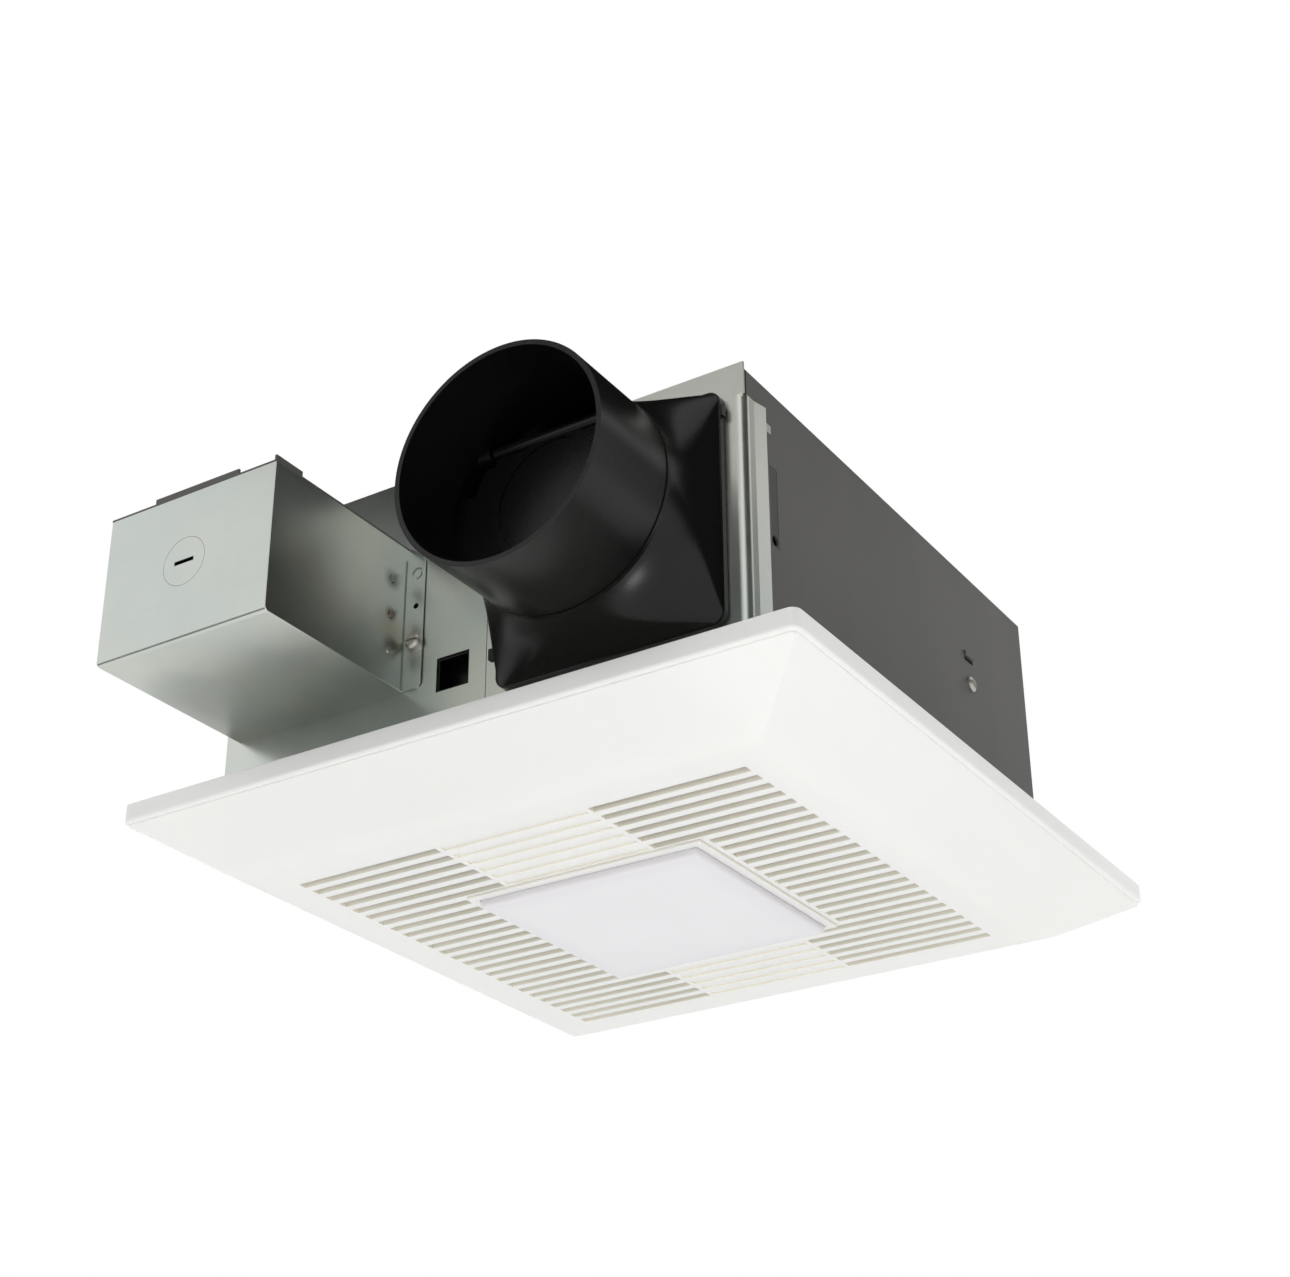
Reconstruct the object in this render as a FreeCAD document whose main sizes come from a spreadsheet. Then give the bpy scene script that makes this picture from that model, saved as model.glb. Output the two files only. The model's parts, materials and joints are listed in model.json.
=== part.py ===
import FreeCAD, Part
import math
import os
import re
from types import SimpleNamespace

import Sketcher
from FreeCAD import Placement, Rotation, Vector

# Ceiling exhaust fan with a light in its grille. Millimetres, +Z up.
# The origin is the middle of the grille on the ceiling's face: the housing stands above it, the grille
# hangs below it, and the duct leaves towards -Y.

SIZES = {
    # Grille: a square dish whose sloped border rounds into a flat face
    "grille_width": 330.0,
    "grille_corner": 4.0,
    "rim_height": 8.7,
    "rim_edge": 1.6,
    "ledge_width": 1.8,
    "ledge_step": 0.6,
    "face_depth": 29.8,
    "crown_inset": 36.0,
    "crown_round": 20.0,
    "panel_wall": 2.4,
    "slot_rows": 25,
    "slot_pitch": 9.0,
    "slot_width": 4.6,
    "slot_reach": 111.0,
    "slot_margin": 2.5,
    "blind_half": 38.0,
    "blind_gap": 2.0,
    "groove_depth": 1.0,
    # Light in the middle of the grille
    "lens_width": 110.6,
    "lens_drop": 5.0,
    "lens_edge": 2.0,
    "lens_wall": 2.0,
    "lens_flange": 3.0,
    "frame_border": 3.7,
    "frame_rise": 1.4,
    "lens_fit": 0.3,
    "pan_width": 124.0,
    "pan_height": 25.0,
    "pan_wall": 1.0,
    "board_width": 92.0,
    "board_wall": 1.6,
    "board_drop": 9.0,
    "standoff_radius": 2.5,
    "standoff_inset": 8.0,
    "emitter_width": 3.2,
    "emitter_wall": 0.8,
    "emitter_rows": 5,
    "emitter_pitch": 15.0,
    "driver_length": 66.0,
    "driver_width": 34.0,
    "driver_height": 7.0,
    # Housing box
    "housing_width": 262.0,
    "housing_front": 139.4,
    "housing_back": 127.8,
    "housing_height": 132.0,
    "shell_wall": 1.0,
    "edge_round": 1.6,
    "front_round": 3.0,
    "lip_width": 22.0,
    "lip_depth": 37.0,
    "window_border": 10.0,
    "side_screw_y": 63.3,
    "side_screw_z": 72.7,
    "lance_length": 9.0,
    "lance_width": 2.2,
    "lance_rise": 12.5,
    "lance_hood": 1.2,
    "key_slot_width": 6.0,
    "key_slot_length": 37.0,
    "key_slot_depth": 0.5,
    "key_slot_y": 116.5,
    "key_slot_z": 76.5,
    "slot_plug_fit": 0.1,
    "joist_hole_radius": 2.25,
    "joist_hole_rise": 3.0,
    "relief_depth": 3.0,
    "relief_height": 13.0,
    # Front sheets
    "plate_wall": 1.0,
    "plate_rise": 0.8,
    "plate_foot": 2.0,
    "seam_x": 8.0,
    "seam_gap": 0.3,
    "bend_ease": 0.3,
    "return_height": 116.0,
    "return_depth": 7.1,
    "lip_run": 7.1,
    "lip_flare": 1.5,
    "hook_width": 3.5,
    "hook_height": 4.0,
    "hook_drop": 7.0,
    # Duct adapter and damper
    "collar_diameter": 96.8,
    "collar_wall": 2.2,
    "collar_x": 63.9,
    "collar_z": 74.6,
    "collar_reach": 73.0,
    "collar_length": 47.1,
    "bead_height": 0.5,
    "bead_width": 2.0,
    "flange_width": 107.5,
    "flange_height": 106.0,
    "flange_x": 69.3,
    "flange_z": 67.5,
    "flange_corner": 6.0,
    "flange_wall": 2.6,
    "flange_border": 0.8,
    "flare_power": 1.7,
    "flare_wall": 1.7,
    "gasket_wall": 1.0,
    "tab_width": 5.0,
    "tab_reach": 4.0,
    "latch_reach": 1.0,
    "flap_radius": 41.5,
    "flap_wall": 1.6,
    "flap_bead": 1.0,
    "flap_bead_radius": 30.0,
    "pin_rise": 30.0,
    "pin_inset": 6.0,
    "pin_radius": 1.5,
    "pin_fit": 0.05,
    "pin_press": 0.02,
    "pin_reach": 33.6,
    "sleeve_radius": 3.0,
    "boss_radius": 4.0,
    "boss_from": 30.5,
    "boss_gap": 1.0,
    "seat_radius": 38.5,
    "seat_wall": 2.0,
    "seat_gap": 0.4,
    "seat_below": 15.0,
    # Wiring box
    "box_width": 89.6,
    "box_height": 67.7,
    "box_depth": 87.0,
    "box_x": -79.4,
    "box_foot": 28.9,
    "box_wall": 1.0,
    "box_round": 0.4,
    "box_fold": 2.0,
    "ear_width": 9.6,
    "ear_height": 63.0,
    "ear_round": 3.0,
    "ear_rebate": 1.2,
    "fold_groove": 0.8,
    "ear_screw_x": -29.0,
    "ear_screw_z": 50.6,
    "ear_ring_z": 83.6,
    "ear_ring_radius": 2.9,
    "pip_radius": 1.9,
    "pip_height": 0.8,
    "ear_pilot_z": 67.9,
    "ear_pilot_radius": 1.3,
    "weld_radius": 1.9,
    "weld_height": 0.5,
    "weld_inset": 10.1,
    "weld_z": 61.5,
    "weld_pitch": 16.9,
    "cover_tab_length": 45.2,
    "cover_tab_rise": 2.2,
    "cover_tab_x": -77.3,
    "cover_side_tab": 16.0,
    "knockout_diameter": 22.2,
    "knockout_fit": 0.15,
    "knockout_x": -80.6,
    "knockout_z": 64.7,
    "pry_length": 10.3,
    "pry_width": 1.8,
    "wire_hole_radius": 11.0,
    "ground_x": -105.0,
    "ground_y": -180.0,
    "cutout_width": 16.6,
    "cutout_height": 15.7,
    "cutout_x": -9.1,
    "cutout_z": 32.1,
    "socket_depth": 12.0,
    "socket_wall": 2.0,
    "socket_well": 8.0,
    # Screws: one thread size for the sheet metal
    "screw_radius": 1.75,
    "screw_hole": 2.0,
    "screw_length": 7.0,
    "screw_head_radius": 3.6,
    "screw_head_height": 2.2,
    "screw_slot_width": 0.9,
    "screw_slot_depth": 1.1,
    "washer_radius": 4.6,
    "washer_wall": 0.7,
    # Blower: wheel, scroll and inlet
    "inlet_rise": 30.2,
    "wheel_gap": 2.0,
    "blade_count": 40,
    "blade_depth": 12.0,
    "blade_wall": 1.2,
    "blade_sweep": 7.0,
    "blade_bulge": 1.6,
    "ring_height": 4.0,
    "ring_wall": 3.0,
    "backplate_wall": 2.0,
    "hub_radius": 10.0,
    "hub_height": 16.0,
    "shaft_radius": 4.0,
    "shaft_fit": 0.03,
    "shaft_tail": 6.5,
    "nut_width": 13.0,
    "nut_height": 5.0,
    "scroll_left_gap": 25.5,
    "scroll_right_gap": 9.5,
    "scroll_back_gap": 6.3,
    "scroll_gap": 7.0,
    "scroll_step": 12.0,
    "scroll_wall": 1.5,
    "scroll_mouth_x": 12.0,
    "scroll_boss_radius": 5.0,
    "scroll_boss_height": 20.0,
    "scroll_boss_hole": 1.8,
    "inlet_gap": 3.3,
    "inlet_wall": 1.2,
    "inlet_edge_fit": 0.6,
    "socket_gap": 1.0,
    "bell_round": 9.0,
    "bell_inset": 8.0,
    # Motor
    "motor_diameter": 72.0,
    "motor_height": 20.0,
    "motor_edge": 3.0,
    "motor_plate_share": 0.7,
    "motor_plate_wall": 1.5,
    "isolator_radius": 6.0,
    "isolator_height": 3.0,
    "isolator_inset": 10.0,
    "bearing_radius": 11.0,
    "bearing_height": 6.0,
    "bearing_inset": 1.0,
    # Motor control in the corner beside the scroll
    "control_width": 36.0,
    "control_length": 48.0,
    "control_height": 60.0,
    "control_wall": 2.0,
    "control_inset": 1.5,
    # Grille springs
    "spring_inset": 26.0,
    "spring_height": 13.4,
    "spring_radius": 5.0,
    "wire_radius": 1.0,
    "coil_turns": 3,
    "coil_pitch": 2.6,
    "end_turn_gap": 0.6,
    "leg_length": 92.0,
    "leg_angle": 70.0,
    "holder_pin_radius": 3.6,
    "ear_gap": 0.6,
    "holder_ear": 1.8,
    "holder_half": 5.5,
    "leg_slot_from": 18.0,
    "leg_slot_to": 50.0,
    "leg_slot_side": 1.6,
}

# Sizes that follow from those: the scroll fills the housing between its gaps, the wheel and the motor's
# plate fill the scroll, and each spring stands inside the housing and on the flat of the grille
FITTED = {
    "wheel_height": "=housing_height - shell_wall - isolator_height - motor_plate_wall - motor_height"
                    " - wheel_gap - inlet_gap - bell_round - inlet_rise",
    "wheel_diameter": "=housing_width - 2 * shell_wall - scroll_left_gap - scroll_right_gap"
                      " - 2 * scroll_wall - 2 * scroll_gap - 4 * scroll_step",
    "wheel_x": "=scroll_left_gap + shell_wall + scroll_wall + wheel_diameter / 2 + scroll_gap"
               " + scroll_step - housing_width / 2",
    "wheel_y": "=housing_back - shell_wall - scroll_back_gap - scroll_wall - wheel_diameter / 2"
               " - scroll_gap - 2 * scroll_step",
    "bell_radius": "=wheel_diameter / 2 - blade_depth - bell_inset",
    "motor_plate_width": "=motor_plate_share * wheel_diameter",
    "isolator_spacing": "=motor_plate_width - 2 * isolator_inset",
    "crown_slope": "=(face_depth - rim_height - ledge_step) / (crown_inset - ledge_width)",
    "holder_reach": "=coil_turns * coil_pitch / 2 + end_turn_gap + 3 * wire_radius + ear_gap + holder_ear",
    "spring_flat": "=grille_width / 2 - crown_inset - crown_round * crown_slope / 2 - holder_reach",
    "spring_front": "=min(housing_front - shell_wall - spring_inset; spring_flat)",
    "spring_back": "=min(housing_back - shell_wall - spring_inset; spring_flat)",
}

doc = FreeCAD.newDocument("ExhaustFan")
sheet = doc.addObject("Spreadsheet::Sheet", "Sizes")
aliases = list(SIZES) + list(FITTED)
for row, (alias, amount) in enumerate((SIZES | FITTED).items(), start=1):
    sheet.set(f"A{row}", alias)
    sheet.set(f"B{row}", str(amount))
    sheet.setAlias(f"B{row}", alias)
doc.recompute()
size = SimpleNamespace(**{alias: float(sheet.get(alias)) for alias in aliases})
named = re.compile(r"\b(" + "|".join(sorted(aliases, key=len, reverse=True)) + r")\b")
nodes = []

UP = Vector(0, 0, 1)
ALONG = {"x": Vector(1, 0, 0), "y": Vector(0, 1, 0), "z": UP}


def keep(piece):
    """Lists a finished sub-part, which is written out under its label."""
    nodes.append(piece)
    return piece


def bind(thing, prop, formula):
    """Ties a property to a formula of the sheet's named sizes."""
    thing.setExpression(prop, named.sub(r"Sizes.\1", str(formula)))


def bind_place(thing, x, y, z):
    """Ties the three coordinates of a placement to formulas."""
    for axis, formula in zip("xyz", (x, y, z)):
        bind(thing, f"Placement.Base.{axis}", formula)


def block(label, x, y, z):
    """A box between a low and a high formula along each axis."""
    box = doc.addObject("Part::Box", label)
    for side, (low, high) in zip(("Length", "Width", "Height"), (x, y, z)):
        bind(box, side, f"({high}) - ({low})")
    bind_place(box, x[0], y[0], z[0])
    return box


def rod(label, axis, start, radius, length):
    """A cylinder from a start point, given as formulas, along one axis."""
    cylinder = doc.addObject("Part::Cylinder", label)
    cylinder.Placement = Placement(Vector(), Rotation(UP, ALONG[axis]))
    bind(cylinder, "Radius", radius)
    bind(cylinder, "Height", length)
    bind_place(cylinder, *start)
    return cylinder


def fuse(label, *pieces):
    """Several touching pieces joined into one."""
    joined = doc.addObject("Part::MultiFuse", label)
    joined.Shapes = list(pieces)
    joined.Refine = True
    return joined


def cut(label, base, *tools):
    """A base with all the tools taken out of it."""
    tool = tools[0] if len(tools) == 1 else fuse(f"{label}_tools", *tools)
    rest = doc.addObject("Part::Cut", label)
    rest.Base = base
    rest.Tool = tool
    rest.Refine = True
    return rest


def soften(label, base, radius, test):
    """Rounds the edges of a base whose middle points pass a test."""
    doc.recompute()
    rounded = doc.addObject("Part::Fillet", label)
    rounded.Base = base
    edges = enumerate(base.Shape.Edges, start=1)
    rounded.Edges = [(n, radius, radius) for n, edge in edges if test(edge.CenterOfMass, edge)]
    return rounded


def formed(label, shape):
    """A sub-part whose shape is made from curves, at the sheet's sizes."""
    piece = doc.addObject("Part::Feature", label)
    piece.Shape = shape
    return piece


def copies(label, original, places):
    """A group of equal pieces at several placements."""
    doc.recompute()
    moved = []
    for place in places:
        twin = original.Shape.copy()
        twin.Placement = place.multiply(twin.Placement)
        moved.append(twin)
    return formed(label, Part.makeCompound(moved))


def sketch(body, label, role, lift="0"):
    """A sketch on one of a body's own planes, lifted off it by a formula."""
    flat = body.newObject("Sketcher::SketchObject", label)
    support = next(item for item in body.Origin.OriginFeatures if item.Role == role)
    flat.AttachmentSupport = (support, [""])
    flat.MapMode = "FlatFace"
    bind(flat, "AttachmentOffset.Base.z", lift)
    return flat


def outline(flat, points):
    """A closed outline through points, each held by two formulas from the sketch's origin."""
    count = len(points)
    start = [Vector(math.cos(2 * math.pi * n / count), math.sin(2 * math.pi * n / count), 0)
             for n in range(count)]
    for n in range(count):
        flat.addGeometry(Part.LineSegment(start[n], start[(n + 1) % count]))
    for n in range(count):
        flat.addConstraint(Sketcher.Constraint("Coincident", n, 2, (n + 1) % count, 1))
    for n, pair in enumerate(points):
        for kind, now, formula in zip(("DistanceX", "DistanceY"), (start[n].x, start[n].y), pair):
            held = flat.addConstraint(Sketcher.Constraint(kind, -1, 1, n, 1, now))
            bind(flat, f"Constraints[{held}]", formula)


def revolve(body, label, points):
    """A solid turned about the body's upright axis from (radius, height) formulas."""
    flat = sketch(body, f"{label}_profile", "XZ_Plane")
    outline(flat, points)
    turned = body.newObject("PartDesign::Revolution", label)
    turned.Profile = flat
    turned.ReferenceAxis = (flat, ["V_Axis"])
    turned.Angle = 360
    body.Tip = turned
    return turned


def turned_piece(label, points, x="0", y="0"):
    """One lathe-turned sub-part on an upright axis."""
    body = doc.addObject("PartDesign::Body", label)
    revolve(body, f"{label}_turn", points)
    bind_place(body, x, y, "0")
    return body


def rounded_rectangle(half_u, half_v, corner, at):
    """A rounded rectangle round a middle point, set in space by the function at(u, v)."""
    pulled_in = corner * (1 - math.sqrt(0.5))
    arcs = []
    for u, v in ((1, 1), (-1, 1), (-1, -1), (1, -1)):
        side = (u * half_u, v * (half_v - corner))
        middle = (u * (half_u - pulled_in), v * (half_v - pulled_in))
        end = (u * (half_u - corner), v * half_v)
        arcs.append((side, middle, end) if u == v else (end, middle, side))
    edges = []
    for before, arc in zip(arcs[-1:] + arcs[:-1], arcs):
        edges.append(Part.LineSegment(at(*before[2]), at(*arc[0])).toShape())
        edges.append(Part.Arc(*(at(*point) for point in arc)).toShape())
    return Part.Wire(edges)


def between(low, high, share):
    """A value part of the way from low to high."""
    return low + (high - low) * share


# Formulas that several pieces share
INSIDE_X = "(housing_width / 2 - shell_wall)"
JOIST_Z = "(key_slot_z - key_slot_length / 2 + joist_hole_rise)"
INSIDE_FRONT = "(-housing_front + shell_wall)"
INSIDE_BACK = "(housing_back - shell_wall)"
INSIDE_TOP = "(housing_height - shell_wall)"
PLATE_FACE = "(-housing_front - plate_wall)"
PLATE_TOP = "(housing_height + plate_rise)"
FACE_INSIDE = "(-face_depth + panel_wall)"
MOTOR_PLATE_TOP = f"({INSIDE_TOP} - isolator_height)"
MOTOR_TOP = f"({MOTOR_PLATE_TOP} - motor_plate_wall)"
MOTOR_FOOT = f"({MOTOR_TOP} - motor_height)"
WHEEL_TOP = f"({MOTOR_FOOT} - wheel_gap)"
WHEEL_FOOT = f"({WHEEL_TOP} - wheel_height)"
HUB_FOOT = f"({WHEEL_TOP} - backplate_wall - hub_height)"
INLET_TOP = f"({WHEEL_FOOT} - inlet_gap - bell_round)"
BOX_LOW = "(box_x - box_width / 2)"
BOX_HIGH = "(box_x + box_width / 2)"
BOX_END = f"({PLATE_FACE} - box_depth)"
BOX_TOP = "(box_foot + box_height)"
PIN_Y = f"({PLATE_FACE} - collar_reach + collar_length - pin_inset)"

# The same places as numbers, for the pieces that are made from curves
inside_top = size.housing_height - size.shell_wall
inside_front = -size.housing_front + size.shell_wall
inside_back = size.housing_back - size.shell_wall
plate_face = -size.housing_front - size.plate_wall
face_inside = -size.face_depth + size.panel_wall
wheel_top = (inside_top - size.isolator_height - size.motor_plate_wall
             - size.motor_height - size.wheel_gap)
inlet_top = wheel_top - size.wheel_height - size.inlet_gap - size.bell_round
lens_half = size.lens_width / 2
frame_half = lens_half + size.lens_fit + size.frame_border
spring_rows = (-size.spring_front, size.spring_back)
collar_radius = size.collar_diameter / 2
bore_radius = collar_radius - size.collar_wall
mouth_y = plate_face - size.collar_reach
bead_y = mouth_y + size.collar_length
pin_y = bead_y - size.pin_inset
pin_z = size.collar_z + size.pin_rise
wheel_axis = Vector(size.wheel_x, size.wheel_y, 0)


def front_upright(middle, edge):
    """Whether an edge of the housing's block or of its space is one of the two front corners."""
    return middle.y < inside_front + size.shell_wall and edge.BoundBox.ZLength > size.housing_height / 2


def housing_shell():
    """Coated steel box, open below inside a turned-in lip and open in front behind the two sheets."""
    half = "housing_width / 2"
    outer = block("shell_outer", (f"-{half}", half), ("-housing_front", "housing_back"),
                  ("0", "housing_height"))
    fronts = soften("shell_fronts", outer, size.front_round, front_upright)
    rounded = soften("shell_rounded", fronts, size.edge_round,
                     lambda middle, edge: middle.z > 0 and middle.y > inside_front + size.front_round)
    lance_z = "(side_screw_z + lance_rise)"
    hoods = [rod(f"lance_hood_{hand}", "y", (f"{sign}{half}", "side_screw_y - lance_length / 2",
                                             f"{lance_z} + lance_width / 2 + lance_hood"),
                 "lance_hood", "lance_length") for hand, sign in (("left", "-"), ("right", ""))]
    solid = fuse("shell_with_hoods", rounded, *hoods)
    space = block("shell_space", (f"-{INSIDE_X}", INSIDE_X), (INSIDE_FRONT, INSIDE_BACK),
                  ("shell_wall", INSIDE_TOP))
    cavity = soften("shell_cavity", space, size.front_round - size.shell_wall, front_upright)
    mouth = block("shell_mouth", (f"-{INSIDE_X} + lip_width", f"{INSIDE_X} - lip_width"),
                  (f"{INSIDE_FRONT} + lip_depth", f"{INSIDE_BACK} - lip_depth"),
                  ("-shell_wall", "2 * shell_wall"))
    window = block("shell_window", (f"-{half} + window_border", f"{half} - window_border"),
                   ("-housing_front - shell_wall", "-housing_front + 2 * shell_wall"),
                   ("window_border", "housing_height - window_border"))
    tools = [cavity, mouth, window]
    for side in (-1, 1):
        hand = "right" if side > 0 else "left"
        start = f"{side} * {half} - 2 * shell_wall"
        through = (start, f"{start} + 4 * shell_wall")
        groove = ((f"{half} - key_slot_depth", f"{half} + shell_wall") if side > 0
                  else (f"-{half} - shell_wall", f"-{half} + key_slot_depth"))
        tools.append(rod(f"side_screw_hole_{hand}", "x", (start, "side_screw_y", "side_screw_z"),
                         "screw_hole", "4 * shell_wall"))
        tools.append(block(f"lance_{hand}", through,
                           ("side_screw_y - lance_length / 2", "side_screw_y + lance_length / 2"),
                           (f"{lance_z} - lance_width / 2", f"{lance_z} + lance_width / 2")))
        tools.append(block(f"key_slot_{hand}", groove,
                           ("-key_slot_y - key_slot_width / 2", "-key_slot_y + key_slot_width / 2"),
                           ("key_slot_z - key_slot_length / 2", "key_slot_z + key_slot_length / 2")))
        tools.append(rod(f"joist_hole_{hand}", "x", (start, "-key_slot_y", JOIST_Z), "joist_hole_radius",
                         "4 * shell_wall"))
        tools.append(block(f"corner_relief_{hand}", through,
                           ("-housing_front - 1", "-housing_front + relief_depth"),
                           ("housing_height - relief_height", INSIDE_TOP)))
        for end, row in (("front", "-spring_front"), ("back", "spring_back")):
            span = ("leg_slot_from", "leg_slot_to") if side > 0 else ("-leg_slot_to", "-leg_slot_from")
            reach = "(wire_radius + leg_slot_side)"
            leg_row = f"{row} + {side} * ({leg_offset()})"
            tools.append(block(f"leg_slot_{hand}_{end}", span,
                               (f"{leg_row} - {reach}", f"{leg_row} + {reach}"),
                               ("-shell_wall", "2 * shell_wall")))
    return keep(cut("housing_shell", solid, *tools))


def slot_plugs():
    """Thin dark strips that lie in the grooves of the housing's sides, pierced for the joist screws."""
    half = "housing_width / 2"
    wide = "(key_slot_width / 2 - slot_plug_fit)"
    tall = "(key_slot_length / 2 - slot_plug_fit)"
    sides = []
    for hand, low, high in (("left", f"-{half} + slot_plug_fit", f"-{half} + key_slot_depth"),
                            ("right", f"{half} - key_slot_depth", f"{half} - slot_plug_fit")):
        sides.append(block(f"plug_strip_{hand}", (low, high),
                           (f"-key_slot_y - {wide}", f"-key_slot_y + {wide}"),
                           (f"key_slot_z - {tall}", f"key_slot_z + {tall}")))
    pair = doc.addObject("Part::Compound", "plug_strips")
    pair.Links = sides
    hole = rod("plug_holes", "x", (f"-{half} - 1", "-key_slot_y", JOIST_Z), "joist_hole_radius",
               "housing_width + 2")
    return keep(cut("slot_plugs", pair, hole))


def leg_offset():
    """How far an end turn lies from the middle of its spring, as a formula."""
    return "coil_turns * coil_pitch / 2 + wire_radius + end_turn_gap + wire_radius"


def adapter_plate():
    """Galvanised sheet on the duct's side; its bent return runs back along the housing to a flared lip."""
    body = doc.addObject("PartDesign::Body", "adapter_plate")
    side = "housing_width / 2"
    lip_foot = "-housing_front + return_depth"
    lip_end = f"{lip_foot} + lip_run"
    flat = sketch(body, "adapter_plate_fold", "XY_Plane", "plate_foot")
    outline(flat, [
        ("seam_x + seam_gap / 2", PLATE_FACE),
        (f"{side} + plate_wall", PLATE_FACE),
        (f"{side} + plate_wall", lip_foot),
        (f"{side} + plate_wall + lip_flare", lip_end),
        (f"{side} + lip_flare", lip_end),
        (side, lip_foot),
        (side, "-housing_front"),
        ("seam_x + seam_gap / 2", "-housing_front"),
    ])
    folded = body.newObject("PartDesign::Pad", "adapter_plate_sheet")
    folded.Profile = flat
    bind(folded, "Length", f"{PLATE_TOP} - plate_foot")
    body.Tip = folded
    for name, wall in (("outer", size.plate_wall), ("inner", 0.0)):
        doc.recompute()
        spot = Vector(size.housing_width / 2 + wall, -size.housing_front - wall, 0)
        bend = [f"Edge{n}" for n, edge in enumerate(folded.Shape.Edges, start=1)
                if math.hypot(edge.CenterOfMass.x - spot.x, edge.CenterOfMass.y - spot.y) < 1e-6]
        rounded = body.newObject("PartDesign::Fillet", f"adapter_plate_{name}_bend")
        rounded.Base = (folded, bend)
        bind(rounded, "Radius", "front_round + plate_wall" if wall else "front_round - bend_ease")
        body.Tip = rounded
        folded = rounded
    passage = Part.Face(adapter_section(1.0, -size.collar_wall, plate_face))
    window = formed("adapter_window", passage.extrude(Vector(0, 4 * size.plate_wall, 0)))
    window.Placement = Placement(Vector(0, -2 * size.plate_wall, 0), Rotation())
    return_top = "(return_height + plate_foot)"
    bend_start = f"{side} - front_round - plate_wall"
    notch = block("return_notch", (bend_start, f"{side} + 2 * plate_wall + lip_flare"),
                  (f"{PLATE_FACE} - plate_wall", f"{lip_end} + plate_wall"),
                  (return_top, f"{PLATE_TOP} + 1"))
    trimmed = cut("adapter_plate_trimmed", body, window, notch)
    tab = block("corner_tab", (bend_start, f"{side} + plate_wall"), (PLATE_FACE, "-housing_front"),
                (return_top, PLATE_TOP))
    hook = block("return_hook", (f"{side} + lip_flare", f"{side} + lip_flare + plate_wall"),
                 (lip_end, f"{lip_end} + hook_width"),
                 (f"{return_top} - hook_drop - hook_height", f"{return_top} - hook_drop"))
    body.Label = "adapter_plate_folded"
    whole = fuse("adapter_plate_whole", trimmed, hook, tab)
    whole.Label = "adapter_plate"
    return keep(whole)


def wiring_plate():
    """Galvanised sheet on the wiring side: a plug cut-out, a hole for wires, a pip in the box's ear."""
    flat = block("wiring_sheet", ("-housing_width / 2", "seam_x - seam_gap / 2"),
                 (PLATE_FACE, "-housing_front"), ("plate_foot", PLATE_TOP))
    pip = rod("ear_pip", "y", ("ear_screw_x", f"{PLATE_FACE} - pip_height", "ear_ring_z"), "pip_radius",
              "pip_height")
    start = f"{PLATE_FACE} - plate_wall"
    cutout = block("plug_cutout", ("cutout_x - cutout_width / 2", "cutout_x + cutout_width / 2"),
                   (start, "-housing_front + plate_wall"),
                   ("cutout_z - cutout_height / 2", "cutout_z + cutout_height / 2"))
    spots = (("wire", "box_x", "box_foot + box_height / 2", "wire_hole_radius"),
             ("screw", "ear_screw_x", "ear_screw_z", "screw_hole"),
             ("pilot", "ear_screw_x", "ear_pilot_z", "ear_pilot_radius"))
    holes = [rod(f"plate_{name}_hole", "y", (x, start, z), radius, "3 * plate_wall")
             for name, x, z, radius in spots]
    return keep(cut("wiring_plate", fuse("wiring_sheet_with_pip", flat, pip), cutout, *holes))


def adapter_section(share, growth, y):
    """One section of the flare: round at the collar, a rounded rectangle at the flange."""
    bend = share ** size.flare_power
    round_corner = collar_radius - size.bead_height
    half_u = between(collar_radius, size.flange_width / 2 - size.flange_border, bend) + growth
    half_v = between(collar_radius, size.flange_height / 2 - size.flange_border, bend) + growth
    corner = between(round_corner, size.flange_corner - size.flange_border, bend) + growth
    x = between(size.collar_x, size.flange_x, bend)
    z = between(size.collar_z, size.flange_z, bend)
    return rounded_rectangle(half_u, half_v, corner, lambda u, v: Vector(x + u, y, z + v))


def flare(growth, start, end):
    """The flare from the end of the collar's bead to the flange, shrunk by a wall for its inside."""
    shares = (0.0, 0.35, 0.7, 1.0)
    sections = [adapter_section(share, growth, between(start, end, share)) for share in shares]
    return Part.makeLoft(sections, True, False)


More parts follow.
